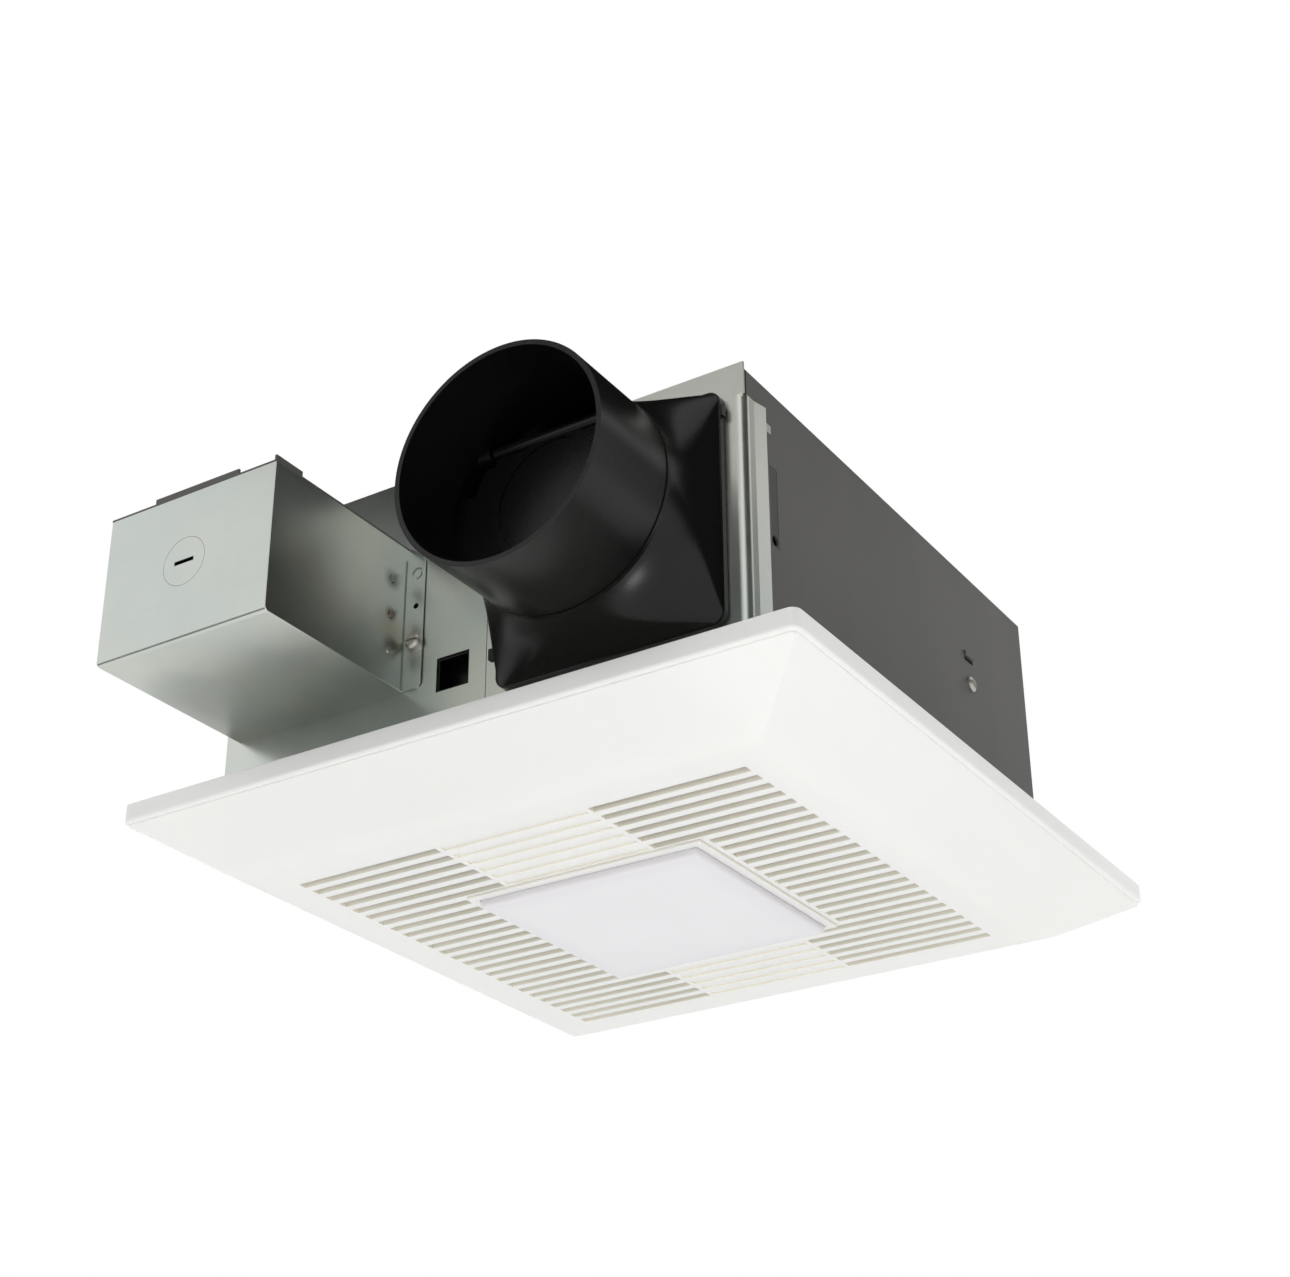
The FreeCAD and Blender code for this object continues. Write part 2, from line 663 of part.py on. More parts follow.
def duct_adapter():
    """Moulded adapter: a flange on the plate flares into the round collar, with bosses for the damper."""
    middle = Vector(size.collar_x, 0, size.collar_z)
    back = plate_face - size.gasket_wall
    flange_y = back - size.flange_wall
    outward = Vector(0, 1, 0)

    def drum(radius, low, high):
        return Part.makeCylinder(radius, high - low, middle + Vector(0, low, 0), outward)

    flange = Part.Face(rounded_rectangle(
        size.flange_width / 2, size.flange_height / 2, size.flange_corner,
        lambda u, v: Vector(size.flange_x + u, flange_y, size.flange_z + v)))
    flange = flange.extrude(outward * size.flange_wall)
    bead_end = bead_y + size.bead_width / 2
    bead = drum(collar_radius + size.bead_height, bead_end - size.bead_width, bead_end)
    collar = drum(collar_radius, mouth_y, bead_end)
    tabs = []
    flange_top = size.flange_z + size.flange_height / 2
    for side, reach, z in ((-1, size.tab_reach, size.cutout_z),
                           (1, size.latch_reach, flange_top - 2 * size.tab_width)):
        edge = size.flange_x + side * size.flange_width / 2
        tabs.append(Part.makeBox(reach, size.flange_wall, size.tab_width,
                                 Vector(min(edge, edge + side * reach), flange_y, z - size.tab_width / 2)))
    outside = flange.multiFuse([collar, bead, flare(0, bead_end, flange_y)] + tabs)
    bore = drum(bore_radius, mouth_y - 1, bead_end)
    opening = Part.Face(adapter_section(1.0, -size.collar_wall, flange_y))
    opening = opening.extrude(outward * 2 * size.flange_wall)
    hollow = outside.cut(bore.multiFuse([flare(-size.flare_wall, bead_end, flange_y), opening]))

    seat_y = pin_y + size.flap_wall / 2 + size.seat_gap
    seat = drum(bore_radius + size.collar_wall / 2, seat_y, seat_y + size.seat_wall)
    seat = seat.cut(drum(size.seat_radius, seat_y - 1, seat_y + size.seat_wall + 1))
    above = Part.makeBox(4 * collar_radius, 4 * collar_radius, 4 * collar_radius,
                         Vector(size.collar_x - 2 * collar_radius, seat_y - 2 * collar_radius,
                                pin_z - size.seat_below))
    pieces = [seat.cut(above)]
    holes = []
    for side in (-1, 1):
        aim = Vector(side, 0, 0)
        foot = Vector(size.collar_x + side * size.boss_from, pin_y, pin_z)
        boss = Part.makeCylinder(size.boss_radius, collar_radius, foot, aim)
        within = drum(bore_radius + size.collar_wall / 2, mouth_y, bead_y + size.boss_radius)
        pieces.append(boss.common(within))
        depth = size.pin_reach - size.boss_from + size.boss_gap / 2
        holes.append(Part.makeCylinder(size.pin_radius + size.pin_fit, depth, foot, aim))
    whole = hollow.multiFuse(pieces).cut(Part.makeCompound(holes)).removeSplitter()
    return keep(formed("duct_adapter", whole))


def adapter_gasket():
    """Foam seal between the adapter's flange and the plate."""
    ring = Part.Face(rounded_rectangle(
        size.flange_width / 2, size.flange_height / 2, size.flange_corner,
        lambda u, v: Vector(size.flange_x + u, plate_face - size.gasket_wall, size.flange_z + v)))
    opening = Part.Face(adapter_section(1.0, -size.collar_wall, plate_face - size.gasket_wall))
    return keep(formed("adapter_gasket", ring.cut(opening).extrude(Vector(0, size.gasket_wall, 0))))


def damper():
    """Round flap that hangs on its pin, with notches round the bosses and a stiffening bead."""
    face = f"({PIN_Y} - flap_wall / 2)"
    disc = rod("flap_disc", "y", ("collar_x", face, "collar_z"), "flap_radius", "flap_wall")
    bead_outer = rod("flap_bead_outer", "y", ("collar_x", f"{face} - flap_bead", "collar_z"),
                     "flap_bead_radius", "flap_bead")
    bead_inner = rod("flap_bead_inner", "y", ("collar_x", f"{face} - 2 * flap_bead", "collar_z"),
                     "flap_bead_radius - 2 * flap_wall", "3 * flap_bead")
    bead = cut("flap_bead_ring", bead_outer, bead_inner)
    pin_height = "(collar_z + pin_rise)"
    half = "(boss_from - boss_gap)"
    sleeve = rod("flap_sleeve", "x", (f"collar_x - {half}", PIN_Y, pin_height), "sleeve_radius",
                 f"2 * {half}")
    slab = (f"{PIN_Y} - 2 * sleeve_radius", f"{PIN_Y} + 2 * sleeve_radius")
    above = "collar_z + 2 * flap_radius"
    left = "collar_x - 2 * flap_radius"
    right = "collar_x + 2 * flap_radius"
    notches = [block("flap_top", (left, right), slab, (pin_height, above))]
    low_notch = f"{pin_height} - boss_radius - 2 * boss_gap"
    for hand, span in (("left", (left, f"collar_x - {half}")), ("right", (f"collar_x + {half}", right))):
        notches.append(block(f"flap_notch_{hand}", span, slab, (low_notch, above)))
    plain = cut("flap_trimmed", disc, *notches)
    pin_start = ("collar_x - pin_reach", PIN_Y, pin_height)
    bore = rod("sleeve_bore", "x", pin_start, "pin_radius + pin_press", "2 * pin_reach")
    keep(cut("damper_flap", fuse("flap_joined", plain, bead, sleeve), bore))
    keep(rod("damper_pin", "x", pin_start, "pin_radius", "2 * pin_reach"))


def wiring_box():
    """Folded galvanised box on the wiring plate: its ear is screwed on, its end has a knockout."""
    outer = block("box_outer", (BOX_LOW, BOX_HIGH), (BOX_END, PLATE_FACE), ("box_foot", BOX_TOP))
    end = plate_face - size.box_depth
    foot = size.box_foot
    folded = soften("box_folded", outer, size.box_fold,
                    lambda middle, edge: middle.z < foot + 1e-6 and middle.y < end + 1e-6)
    rounded = soften("box_rounded", folded, size.box_round,
                     lambda middle, edge: abs(abs(middle.x - size.box_x) - size.box_width / 2) < 1e-6
                     and edge.BoundBox.DiagonalLength > size.box_height / 2
                     and middle.y < plate_face - 1 and middle.z < foot + size.box_height - 1)
    cavity = block("box_cavity", (f"{BOX_LOW} + box_wall", f"{BOX_HIGH} - box_wall"),
                   (f"{BOX_END} + box_wall", f"{PLATE_FACE} + box_wall"),
                   ("box_foot + box_wall", f"{BOX_TOP} + 1"))
    ear_tip = f"({BOX_HIGH} + ear_width)"
    ear_tall = ("box_foot", "box_foot + ear_height")
    ear_plain = block("ear_plain", (f"{BOX_HIGH} - box_wall", ear_tip),
                      (f"{PLATE_FACE} - box_wall", PLATE_FACE), ear_tall)
    tip = size.box_x + size.box_width / 2 + size.ear_width
    ear = soften("ear_rounded", ear_plain, size.ear_round,
                 lambda middle, edge: abs(middle.x - tip) < 1e-6
                 and edge.BoundBox.YLength > 0.5 * size.box_wall)
    rebate = block("ear_rebate_cut", (f"{ear_tip} - ear_rebate", f"{ear_tip} + 1"),
                   (f"{PLATE_FACE} - box_wall / 2", f"{PLATE_FACE} + 1"), ear_tall)
    groove = block("fold_groove_cut", (BOX_HIGH, f"{BOX_HIGH} + fold_groove"),
                   (f"{PLATE_FACE} - 2 * box_wall", f"{PLATE_FACE} - 0.4 * box_wall"), ear_tall)
    tools = [cavity, rebate, groove,
             rod("knockout_hole", "y", ("knockout_x", f"{BOX_END} - box_wall", "knockout_z"),
                 "knockout_diameter / 2", "3 * box_wall")]
    for name, height, radius in (("ring", "ear_ring_z", "ear_ring_radius"),
                                 ("pilot", "ear_pilot_z", "ear_pilot_radius"),
                                 ("screw", "ear_screw_z", "screw_hole")):
        tools.append(rod(f"ear_{name}_hole", "y", ("ear_screw_x", f"{PLATE_FACE} - 2 * box_wall", height),
                         radius, "3 * box_wall"))
    welds = [rod(f"weld_{n}", "x", (BOX_HIGH, f"{PLATE_FACE} - weld_inset", f"weld_z + {n} * weld_pitch"),
                 "weld_radius", "weld_height") for n in (-1, 0, 1)]
    keep(cut("junction_box", fuse("box_with_ear", rounded, ear, *welds), *tools))

    lid = block("lid_sheet", (BOX_LOW, BOX_HIGH), (BOX_END, PLATE_FACE), (BOX_TOP, f"{BOX_TOP} + box_wall"))
    rise = (BOX_TOP, f"{BOX_TOP} + box_wall + cover_tab_rise")
    tab = "cover_tab_length / 2"
    front_tab = block("lid_front_tab", (f"cover_tab_x - {tab}", f"cover_tab_x + {tab}"),
                      (BOX_END, f"{BOX_END} + box_wall"), rise)
    side_tab = block("lid_side_tab", (f"{BOX_HIGH} - box_wall", BOX_HIGH),
                     (BOX_END, f"{BOX_END} + cover_side_tab"), rise)
    keep(fuse("junction_cover", lid, front_tab, side_tab))

    disc = rod("slug_disc", "y", ("knockout_x", BOX_END, "knockout_z"),
               "knockout_diameter / 2 - knockout_fit", "box_wall")
    pry = block("slug_slot", ("knockout_x - pry_length / 2", "knockout_x + pry_length / 2"),
                (f"{BOX_END} - box_wall", f"{BOX_END} + 2 * box_wall"),
                ("knockout_z - pry_width / 2", "knockout_z + pry_width / 2"))
    keep(cut("knockout_disc", disc, pry))


def wire_socket():
    """Black socket behind the plate's square cut-out, open to the front."""
    wide = "(cutout_width / 2 + socket_wall / 2)"
    tall = "(cutout_height / 2 + socket_wall / 2)"
    case = block("socket_case", (f"cutout_x - {wide}", f"cutout_x + {wide}"),
                 ("-housing_front", "-housing_front + socket_depth"),
                 (f"cutout_z - {tall}", f"cutout_z + {tall}"))
    well = block("socket_recess", (f"cutout_x - {wide} + socket_wall", f"cutout_x + {wide} - socket_wall"),
                 ("-housing_front - 1", "-housing_front + socket_well"),
                 (f"cutout_z - {tall} + socket_wall", f"cutout_z + {tall} - socket_wall"))
    return keep(cut("wire_socket", case, well))


def washer_head(foot):
    """The outline of a slotted head with its washer, standing on a foot height."""
    neck = f"{foot} + washer_wall"
    crest = f"{neck} + screw_head_height"
    return [("washer_radius", foot), ("washer_radius", neck), ("screw_head_radius", neck),
            ("screw_head_radius", f"{neck} + screw_head_height / 2"),
            ("0.7 * screw_head_radius", crest), ("0", crest)]


def sheet_screws():
    """Washer-head screws: one through the wiring box's ear, one as the box's ground screw."""
    shank = [("0", "-screw_length"), ("screw_radius", "-screw_length"), ("screw_radius", "0")]
    pattern = turned_piece("washer_screw", shank + washer_head("0"))
    crest = "(washer_wall + screw_head_height)"
    slot = block("screw_slot", ("-2 * screw_head_radius", "2 * screw_head_radius"),
                 ("-screw_slot_width / 2", "screw_slot_width / 2"),
                 (f"{crest} - screw_slot_depth", f"{crest} + 1"))
    facing_out = Rotation(UP, Vector(0, -1, 0))
    ear_face = Vector(size.ear_screw_x, plate_face - size.box_wall, size.ear_screw_z)
    keep(copies("box_screw", cut("washer_screw_slotted", pattern, slot), [Placement(ear_face, facing_out)]))
    floor = "box_foot + box_wall"
    keep(turned_piece("ground_screw", [("0", floor)] + washer_head(floor), "ground_x", "ground_y"))


def blower_wheel():
    """Forward-curved wheel: a backplate with its hub, a ring of swept blades and a rim round the inlet."""
    body = doc.addObject("PartDesign::Body", "blower_wheel")
    under = f"({WHEEL_TOP} - backplate_wall)"
    bore = "shaft_radius + pin_press"
    revolve(body, "wheel_backplate", [
        (bore, HUB_FOOT), ("hub_radius", HUB_FOOT), ("hub_radius", under), ("wheel_diameter / 2", under),
        ("wheel_diameter / 2", WHEEL_TOP), (bore, WHEEL_TOP)])
    flat = sketch(body, "blade_outline", "XY_Plane", WHEEL_FOOT)
    outer = size.wheel_diameter / 2 - size.pin_press
    inner = outer - size.blade_depth
    middle = (outer + inner) / 2
    sweep = math.radians(size.blade_sweep)
    lean = size.blade_bulge / middle

    def spot(radius, angle):
        return Vector(radius * math.cos(angle), -radius * math.sin(angle), 0)

    face = [spot(inner, 0), spot(middle, sweep / 2 - lean), spot(outer, sweep)]
    turn = Rotation(UP, -math.degrees(size.blade_wall / middle))
    back = [turn.multVec(point) for point in face]
    flat.addGeometry(Part.Arc(*face))
    flat.addGeometry(Part.LineSegment(face[2], back[2]))
    flat.addGeometry(Part.Arc(*reversed(back)))
    flat.addGeometry(Part.LineSegment(back[0], face[0]))
    blade = body.newObject("PartDesign::Pad", "blade")
    blade.Profile = flat
    bind(blade, "Length", "wheel_height - backplate_wall / 2")
    body.Tip = blade
    doc.recompute()
    ring = body.newObject("PartDesign::PolarPattern", "blade_ring")
    ring.Originals = [blade]
    ring.Axis = (next(item for item in body.Origin.OriginFeatures if item.Role == "Z_Axis"), [""])
    ring.Angle = 360
    bind(ring, "Occurrences", "blade_count")
    body.Tip = ring
    doc.recompute()
    rim_top = f"({WHEEL_FOOT} + ring_height)"
    revolve(body, "wheel_rim", [
        ("wheel_diameter / 2 - ring_wall", WHEEL_FOOT), ("wheel_diameter / 2", WHEEL_FOOT),
        ("wheel_diameter / 2", rim_top), ("wheel_diameter / 2 - ring_wall", rim_top)])
    bind_place(body, "wheel_x", "wheel_y", "0")
    return keep(body)


def shaft_and_nut():
    """Motor shaft with the nut that holds the wheel on it."""
    tail = f"{HUB_FOOT} - shaft_tail"
    keep(turned_piece("motor_shaft", [
        ("0", tail), ("shaft_radius", tail), ("shaft_radius", f"{MOTOR_TOP} - bearing_inset"),
        ("0", f"{MOTOR_TOP} - bearing_inset")], "wheel_x", "wheel_y"))
    hexagon = doc.addObject("Part::Prism", "nut_hexagon")
    hexagon.Polygon = 6
    bind(hexagon, "Circumradius", "nut_width / 2 / cos(30)")
    bind(hexagon, "Height", "nut_height")
    bind_place(hexagon, "wheel_x", "wheel_y", f"{HUB_FOOT} - nut_height")
    bore = rod("nut_bore", "z", ("wheel_x", "wheel_y", f"{HUB_FOOT} - 2 * nut_height"),
               "shaft_radius + pin_press", "3 * nut_height")
    keep(cut("wheel_nut", hexagon, bore))


def motor():
    """Flat motor case with its bearings, on a plate that four screws hang from rubber isolators."""
    keep(turned_piece("motor_case", [
        ("bearing_radius + pin_press", MOTOR_FOOT), ("motor_diameter / 2 - motor_edge", MOTOR_FOOT),
        ("motor_diameter / 2", f"{MOTOR_FOOT} + motor_edge"), ("motor_diameter / 2", MOTOR_TOP),
        ("bearing_radius + pin_press", MOTOR_TOP)], "wheel_x", "wheel_y"))
    inner = "shaft_radius + shaft_fit"
    low = f"{MOTOR_FOOT} + bearing_inset"
    race = turned_piece("bearing_race", [
        (inner, low), ("bearing_radius", low), ("bearing_radius", f"{low} + bearing_height"),
        (inner, f"{low} + bearing_height")], "wheel_x", "wheel_y")
    lift = size.motor_height - size.bearing_height - 2 * size.bearing_inset
    keep(copies("motor_bearings", race, [Placement(), Placement(Vector(0, 0, lift), Rotation())]))

    half = "motor_plate_width / 2"
    sheet_metal = block("motor_plate_sheet", (f"wheel_x - {half}", f"wheel_x + {half}"),
                        (f"wheel_y - {half}", f"wheel_y + {half}"), (MOTOR_TOP, MOTOR_PLATE_TOP))
    holes = []
    for name, x, y in (("a", -1, -1), ("b", -1, 1), ("c", 1, -1), ("d", 1, 1)):
        holes.append(rod(f"motor_plate_hole_{name}", "z", (
            f"wheel_x + {x} * isolator_spacing / 2", f"wheel_y + {y} * isolator_spacing / 2",
            f"{MOTOR_TOP} - 1"), "screw_hole", "motor_plate_wall + 2"))
    keep(cut("motor_plate", sheet_metal, *holes))
    isolator = turned_piece("isolator", [
        ("screw_hole", MOTOR_PLATE_TOP), ("isolator_radius", MOTOR_PLATE_TOP),
        ("isolator_radius", INSIDE_TOP),
        ("screw_hole", INSIDE_TOP)])
    screw = turned_piece("motor_screw", [
        ("0", f"{MOTOR_TOP} - screw_head_height"),
        ("screw_head_radius", f"{MOTOR_TOP} - screw_head_height"),
        ("screw_head_radius", MOTOR_TOP), ("screw_radius", MOTOR_TOP), ("screw_radius", INSIDE_TOP),
        ("0", INSIDE_TOP)])
    reach = size.isolator_spacing / 2
    places = [Placement(wheel_axis + Vector(x * reach, y * reach, 0), Rotation())
              for x in (-1, 1) for y in (-1, 1)]
    keep(copies("motor_isolators", isolator, places))
    keep(copies("motor_screws", screw, places))


def scroll_arcs():
    """Three quarter arcs whose centres step round a square, so the scroll widens evenly to its mouth."""
    step = size.scroll_step
    first = size.wheel_diameter / 2 + size.scroll_gap + step / 2
    centre = wheel_axis + Vector(-step / 2, step / 2, 0)
    arcs = []
    for quarter, shift in enumerate((Vector(), Vector(step, 0, 0), Vector(step, -step, 0))):
        arcs.append((centre + shift, first + quarter * step, -90 - 90 * quarter))
    return arcs


def on_arc(arc, turn, extra=0.0):
    """A point on a scroll arc, some degrees from its start, pushed outwards by an extra radius."""
    centre, radius, start = arc
    angle = math.radians(start - turn)
    return centre + Vector(math.cos(angle), math.sin(angle), 0) * (radius + extra)


def scroll_casing():
    """Scroll round the wheel, from its tongue to a straight mouth in front, with bosses for five screws."""
    arcs = scroll_arcs()
    front = inside_front
    tongue = on_arc(arcs[0], 0)
    last = on_arc(arcs[-1], 90)
    mouth = Vector(size.scroll_mouth_x, front, 0)
    edges = [Part.LineSegment(mouth, tongue).toShape()]
    for arc in arcs:
        edges.append(Part.Arc(*(on_arc(arc, turn) for turn in (0, 45, 90))).toShape())
    corner = Vector(last.x, front, 0)
    edges.append(Part.LineSegment(last, corner).toShape())
    edges.append(Part.LineSegment(corner, mouth).toShape())
    air = Part.Face(Part.Wire(edges))
    wall = Part.Face(air.OuterWire.makeOffset2D(size.scroll_wall)).cut(air)
    height = inside_top - inlet_top
    tube = wall.extrude(Vector(0, 0, height))
    ahead = Part.makeBox(4 * size.housing_width, size.housing_width, 2 * height,
                         Vector(-2 * size.housing_width, front - size.housing_width, -height / 2))
    tube = tube.cut(ahead)
    inside = air.extrude(Vector(0, 0, height))
    posts = [Part.makeCylinder(size.scroll_boss_radius, size.scroll_boss_height, spot)
             for spot in boss_spots()]
    depth = 2 * size.screw_length
    holes = [Part.makeCylinder(size.scroll_boss_hole, depth, spot) for spot in boss_spots()]
    for side in (-1, 1):
        inward = Vector(-side, 0, 0)
        wall_end = Vector(side * (size.housing_width / 2 - size.shell_wall), size.side_screw_y,
                          size.side_screw_z - inlet_top)
        posts.append(Part.makeCylinder(size.scroll_boss_radius, abs(wall_end.x), wall_end, inward))
        holes.append(Part.makeCylinder(size.scroll_boss_hole, depth, wall_end, inward))
    bosses = [post.cut(inside) for post in posts]
    whole = tube.multiFuse(bosses).cut(Part.makeCompound(holes)).removeSplitter()
    whole.translate(Vector(0, 0, inlet_top))
    return keep(formed("scroll_casing", whole))


def boss_spots():
    """Where the scroll's screw bosses stand: half way round each arc, outside its wall."""
    push = size.scroll_wall + 0.7 * size.scroll_boss_radius
    return [on_arc(arc, 45, push) for arc in scroll_arcs()]


def inlet_plate():
    """Plate under the scroll with a bell mouth that leads the air into the wheel."""
    foot = inlet_top - size.inlet_wall
    gap = size.inlet_edge_fit
    half = size.housing_width / 2 - size.shell_wall - gap
    plate = Part.makeBox(2 * half, inside_back - inside_front - 2 * gap, size.inlet_wall,
                         Vector(-half, inside_front + gap, foot))
    corners = [edge for edge in plate.Edges if edge.CenterOfMass.y < inside_front + 2 * gap
               and edge.BoundBox.XLength < gap]
    plate = plate.makeFillet(size.front_round - size.shell_wall - gap, corners)
    throat = size.bell_radius
    bend = size.bell_round
    wall = size.inlet_wall
    outer_edge = throat + bend

    def bell_point(radius, share):
        """A point of the bell's quarter arc; share 0 is at the plate, 1 is at the lip."""
        angle = share * math.pi / 2
        return Vector(outer_edge - radius * math.sin(angle), 0, foot + bend - radius * math.cos(angle))

    face = [bell_point(bend, share) for share in (0.0, 0.5, 1.0)]
    back = [bell_point(bend - wall, share) for share in (1.0, 0.5, 0.0)]
    profile = Part.Face(Part.Wire([
        Part.Arc(*face).toShape(), Part.LineSegment(face[2], back[0]).toShape(),
        Part.Arc(*back).toShape(), Part.LineSegment(back[2], face[0]).toShape()]))
    bell = profile.revolve(Vector(), UP, 360)
    bell.translate(wheel_axis)
    eye = Part.makeCylinder(outer_edge, 3 * wall, wheel_axis + Vector(0, 0, foot - wall))
    below = Vector(0, 0, foot - wall)
    holes = [Part.makeCylinder(size.screw_hole, 3 * wall, spot + below) for spot in boss_spots()]
    socket_half_x = (size.cutout_width + size.socket_wall) / 2 + size.socket_gap
    notch = Part.makeBox(2 * socket_half_x, size.socket_depth + size.socket_gap, 3 * wall,
                         Vector(size.cutout_x - socket_half_x, -size.housing_front, foot - wall))
    whole = plate.cut(Part.makeCompound([eye, notch] + holes)).fuse(bell).removeSplitter()
    return keep(formed("inlet_plate", whole))


def cover_screws():
    """Screws in the scroll's bosses: three hold the inlet plate, two come through the housing's sides."""
    edge = "-screw_head_height / 2"
    pattern = turned_piece("cover_screw", [
        ("0", "-screw_head_height"), ("0.6 * screw_head_radius", "-screw_head_height"),
        ("screw_head_radius", edge), ("screw_head_radius", "0"), ("screw_radius", "0"),
        ("screw_radius", "2 * screw_length - shell_wall"), ("0", "2 * screw_length - shell_wall")])
    foot = Vector(0, 0, inlet_top - size.inlet_wall)
    keep(copies("cover_screws", pattern, [Placement(spot + foot, Rotation()) for spot in boss_spots()]))
    sides = [Placement(Vector(side * size.housing_width / 2, size.side_screw_y, size.side_screw_z),
                       Rotation(UP, Vector(-side, 0, 0))) for side in (-1, 1)]
    keep(copies("side_screws", pattern, sides))


def motor_control():
    """Control case in the corner beside the scroll, closed by the housing's top, with its board inside."""
    low_x = f"-{INSIDE_X} + control_inset"
    low_y = f"{INSIDE_FRONT} + control_inset"
    foot = f"{INSIDE_TOP} - control_height"
    case = block("control_outer", (low_x, f"{low_x} + control_width"), (low_y, f"{low_y} + control_length"),
                 (foot, INSIDE_TOP))
    cavity = block("control_cavity", (f"{low_x} + control_wall", f"{low_x} + control_width - control_wall"),
                   (f"{low_y} + control_wall", f"{low_y} + control_length - control_wall"),
                   (f"{foot} + control_wall", f"{INSIDE_TOP} + 1"))
    keep(cut("control_case", case, cavity))
    middle = f"{low_x} + control_width / 2"
    keep(block("control_board", (middle, f"{middle} + board_wall"),
               (f"{low_y} + 2 * control_wall", f"{low_y} + control_length - 2 * control_wall"),
               (f"{foot} + control_wall", f"{INSIDE_TOP} - 2 * control_wall")))


def crown_prism(shrink):
    """A full-width bar with the crown's cross-section: slope, rounding and flat face, less a wall."""
    half = size.grille_width / 2
    rise = size.face_depth - size.rim_height - size.ledge_step
    slope = math.atan2(rise, size.crown_inset - size.ledge_width)
    foot = Vector(half - size.ledge_width - shrink * math.sin(slope), 0,
                  shrink * math.cos(slope) - size.rim_height - size.ledge_step)
    turn = Vector(half - size.crown_inset - shrink * math.tan(slope / 2), 0, shrink - size.face_depth)
    bend = size.crown_round - shrink
    reach = bend * math.tan(slope / 2)
    flat_end = turn - Vector(reach, 0, 0)
    slope_end = turn + Vector(math.cos(slope), 0, math.sin(slope)) * reach
    middle = flat_end + Vector(math.sin(slope / 2), 0, 1 - math.cos(slope / 2)) * bend
    top = Vector(foot.x, 0, -size.rim_height / 2)

    def mirrored(point):
        return Vector(-point.x, 0, point.z)

    edges = [Part.LineSegment(top, foot).toShape(), Part.LineSegment(foot, slope_end).toShape(),
             Part.Arc(slope_end, middle, flat_end).toShape(),
             Part.LineSegment(flat_end, mirrored(flat_end)).toShape(),
             Part.Arc(*(mirrored(point) for point in (flat_end, middle, slope_end))).toShape(),
             Part.LineSegment(mirrored(slope_end), mirrored(foot)).toShape(),
             Part.LineSegment(mirrored(foot), mirrored(top)).toShape(),
             Part.LineSegment(mirrored(top), top).toShape()]
    bar = Part.Face(Part.Wire(edges)).extrude(Vector(0, 2 * foot.x, 0))
    bar.translate(Vector(0, -foot.x, 0))
    return bar


def grille_body(shrink):
    """The dish as a full solid, less a wall: a rim block, and a crown where two crossing bars meet."""
    half = size.grille_width / 2 - shrink
    down = Vector(0, 0, -1)

    def column(inset, corner, depth):
        face = rounded_rectangle(half - inset, half - inset, corner, lambda u, v: Vector(u, v, 0))
        return Part.Face(face).extrude(down * depth)

    rim = column(0.0, size.grille_corner, size.rim_height - shrink)
    bar = crown_prism(shrink)
    across = bar.copy()
    across.rotate(Vector(), UP, 90)
    crown = bar.common(across)
    if shrink:
        return rim, crown
    inner_corner = size.grille_corner - size.ledge_width
    return rim, crown.common(column(size.ledge_width, inner_corner, size.face_depth))


def grille_slots():
    """Rows of through slots either side of the light, and blind grooves in line with it."""
    cuts = []
    deep = size.panel_wall + 2
    floor = -size.face_depth - 1
    for row in range(round(size.slot_rows)):
        y = (row - (size.slot_rows - 1) / 2) * size.slot_pitch - size.slot_width / 2
        beside_light = abs(y + size.slot_width / 2) < frame_half + size.slot_margin
        inner = frame_half + size.slot_margin if beside_light else size.blind_half
        length = size.slot_reach - inner
        for start in (-size.slot_reach, inner):
            cuts.append(Part.makeBox(length, size.slot_width, deep, Vector(start, y, floor)))
        if not beside_light:
            blind = size.blind_half - size.blind_gap
            cuts.append(Part.makeBox(2 * blind, size.slot_width, 1 + size.groove_depth,
                                     Vector(-blind, y, floor)))
    return cuts


def grille_panel():
    """Moulded dish of even wall: rim, sloped border, slotted flat face with a square hole for the lens."""
    rim, crown = grille_body(0)
    low = -size.rim_height
    lower_edges = [edge for edge in rim.Edges if abs(edge.BoundBox.ZMax - low) < 1e-6]
    rim = rim.makeFillet(size.rim_edge, lower_edges)
    hollow_rim, hollow_crown = grille_body(size.panel_wall)
    dish = rim.fuse(crown).cut(hollow_rim.fuse(hollow_crown))
    hole = lens_half + size.lens_fit
    opening = Part.makeBox(2 * hole, 2 * hole, 4 * size.panel_wall,
                           Vector(-hole, -hole, -size.face_depth - 1))
    whole = dish.cut(Part.makeCompound(grille_slots() + [opening])).removeSplitter()
    return keep(formed("grille_panel", whole))


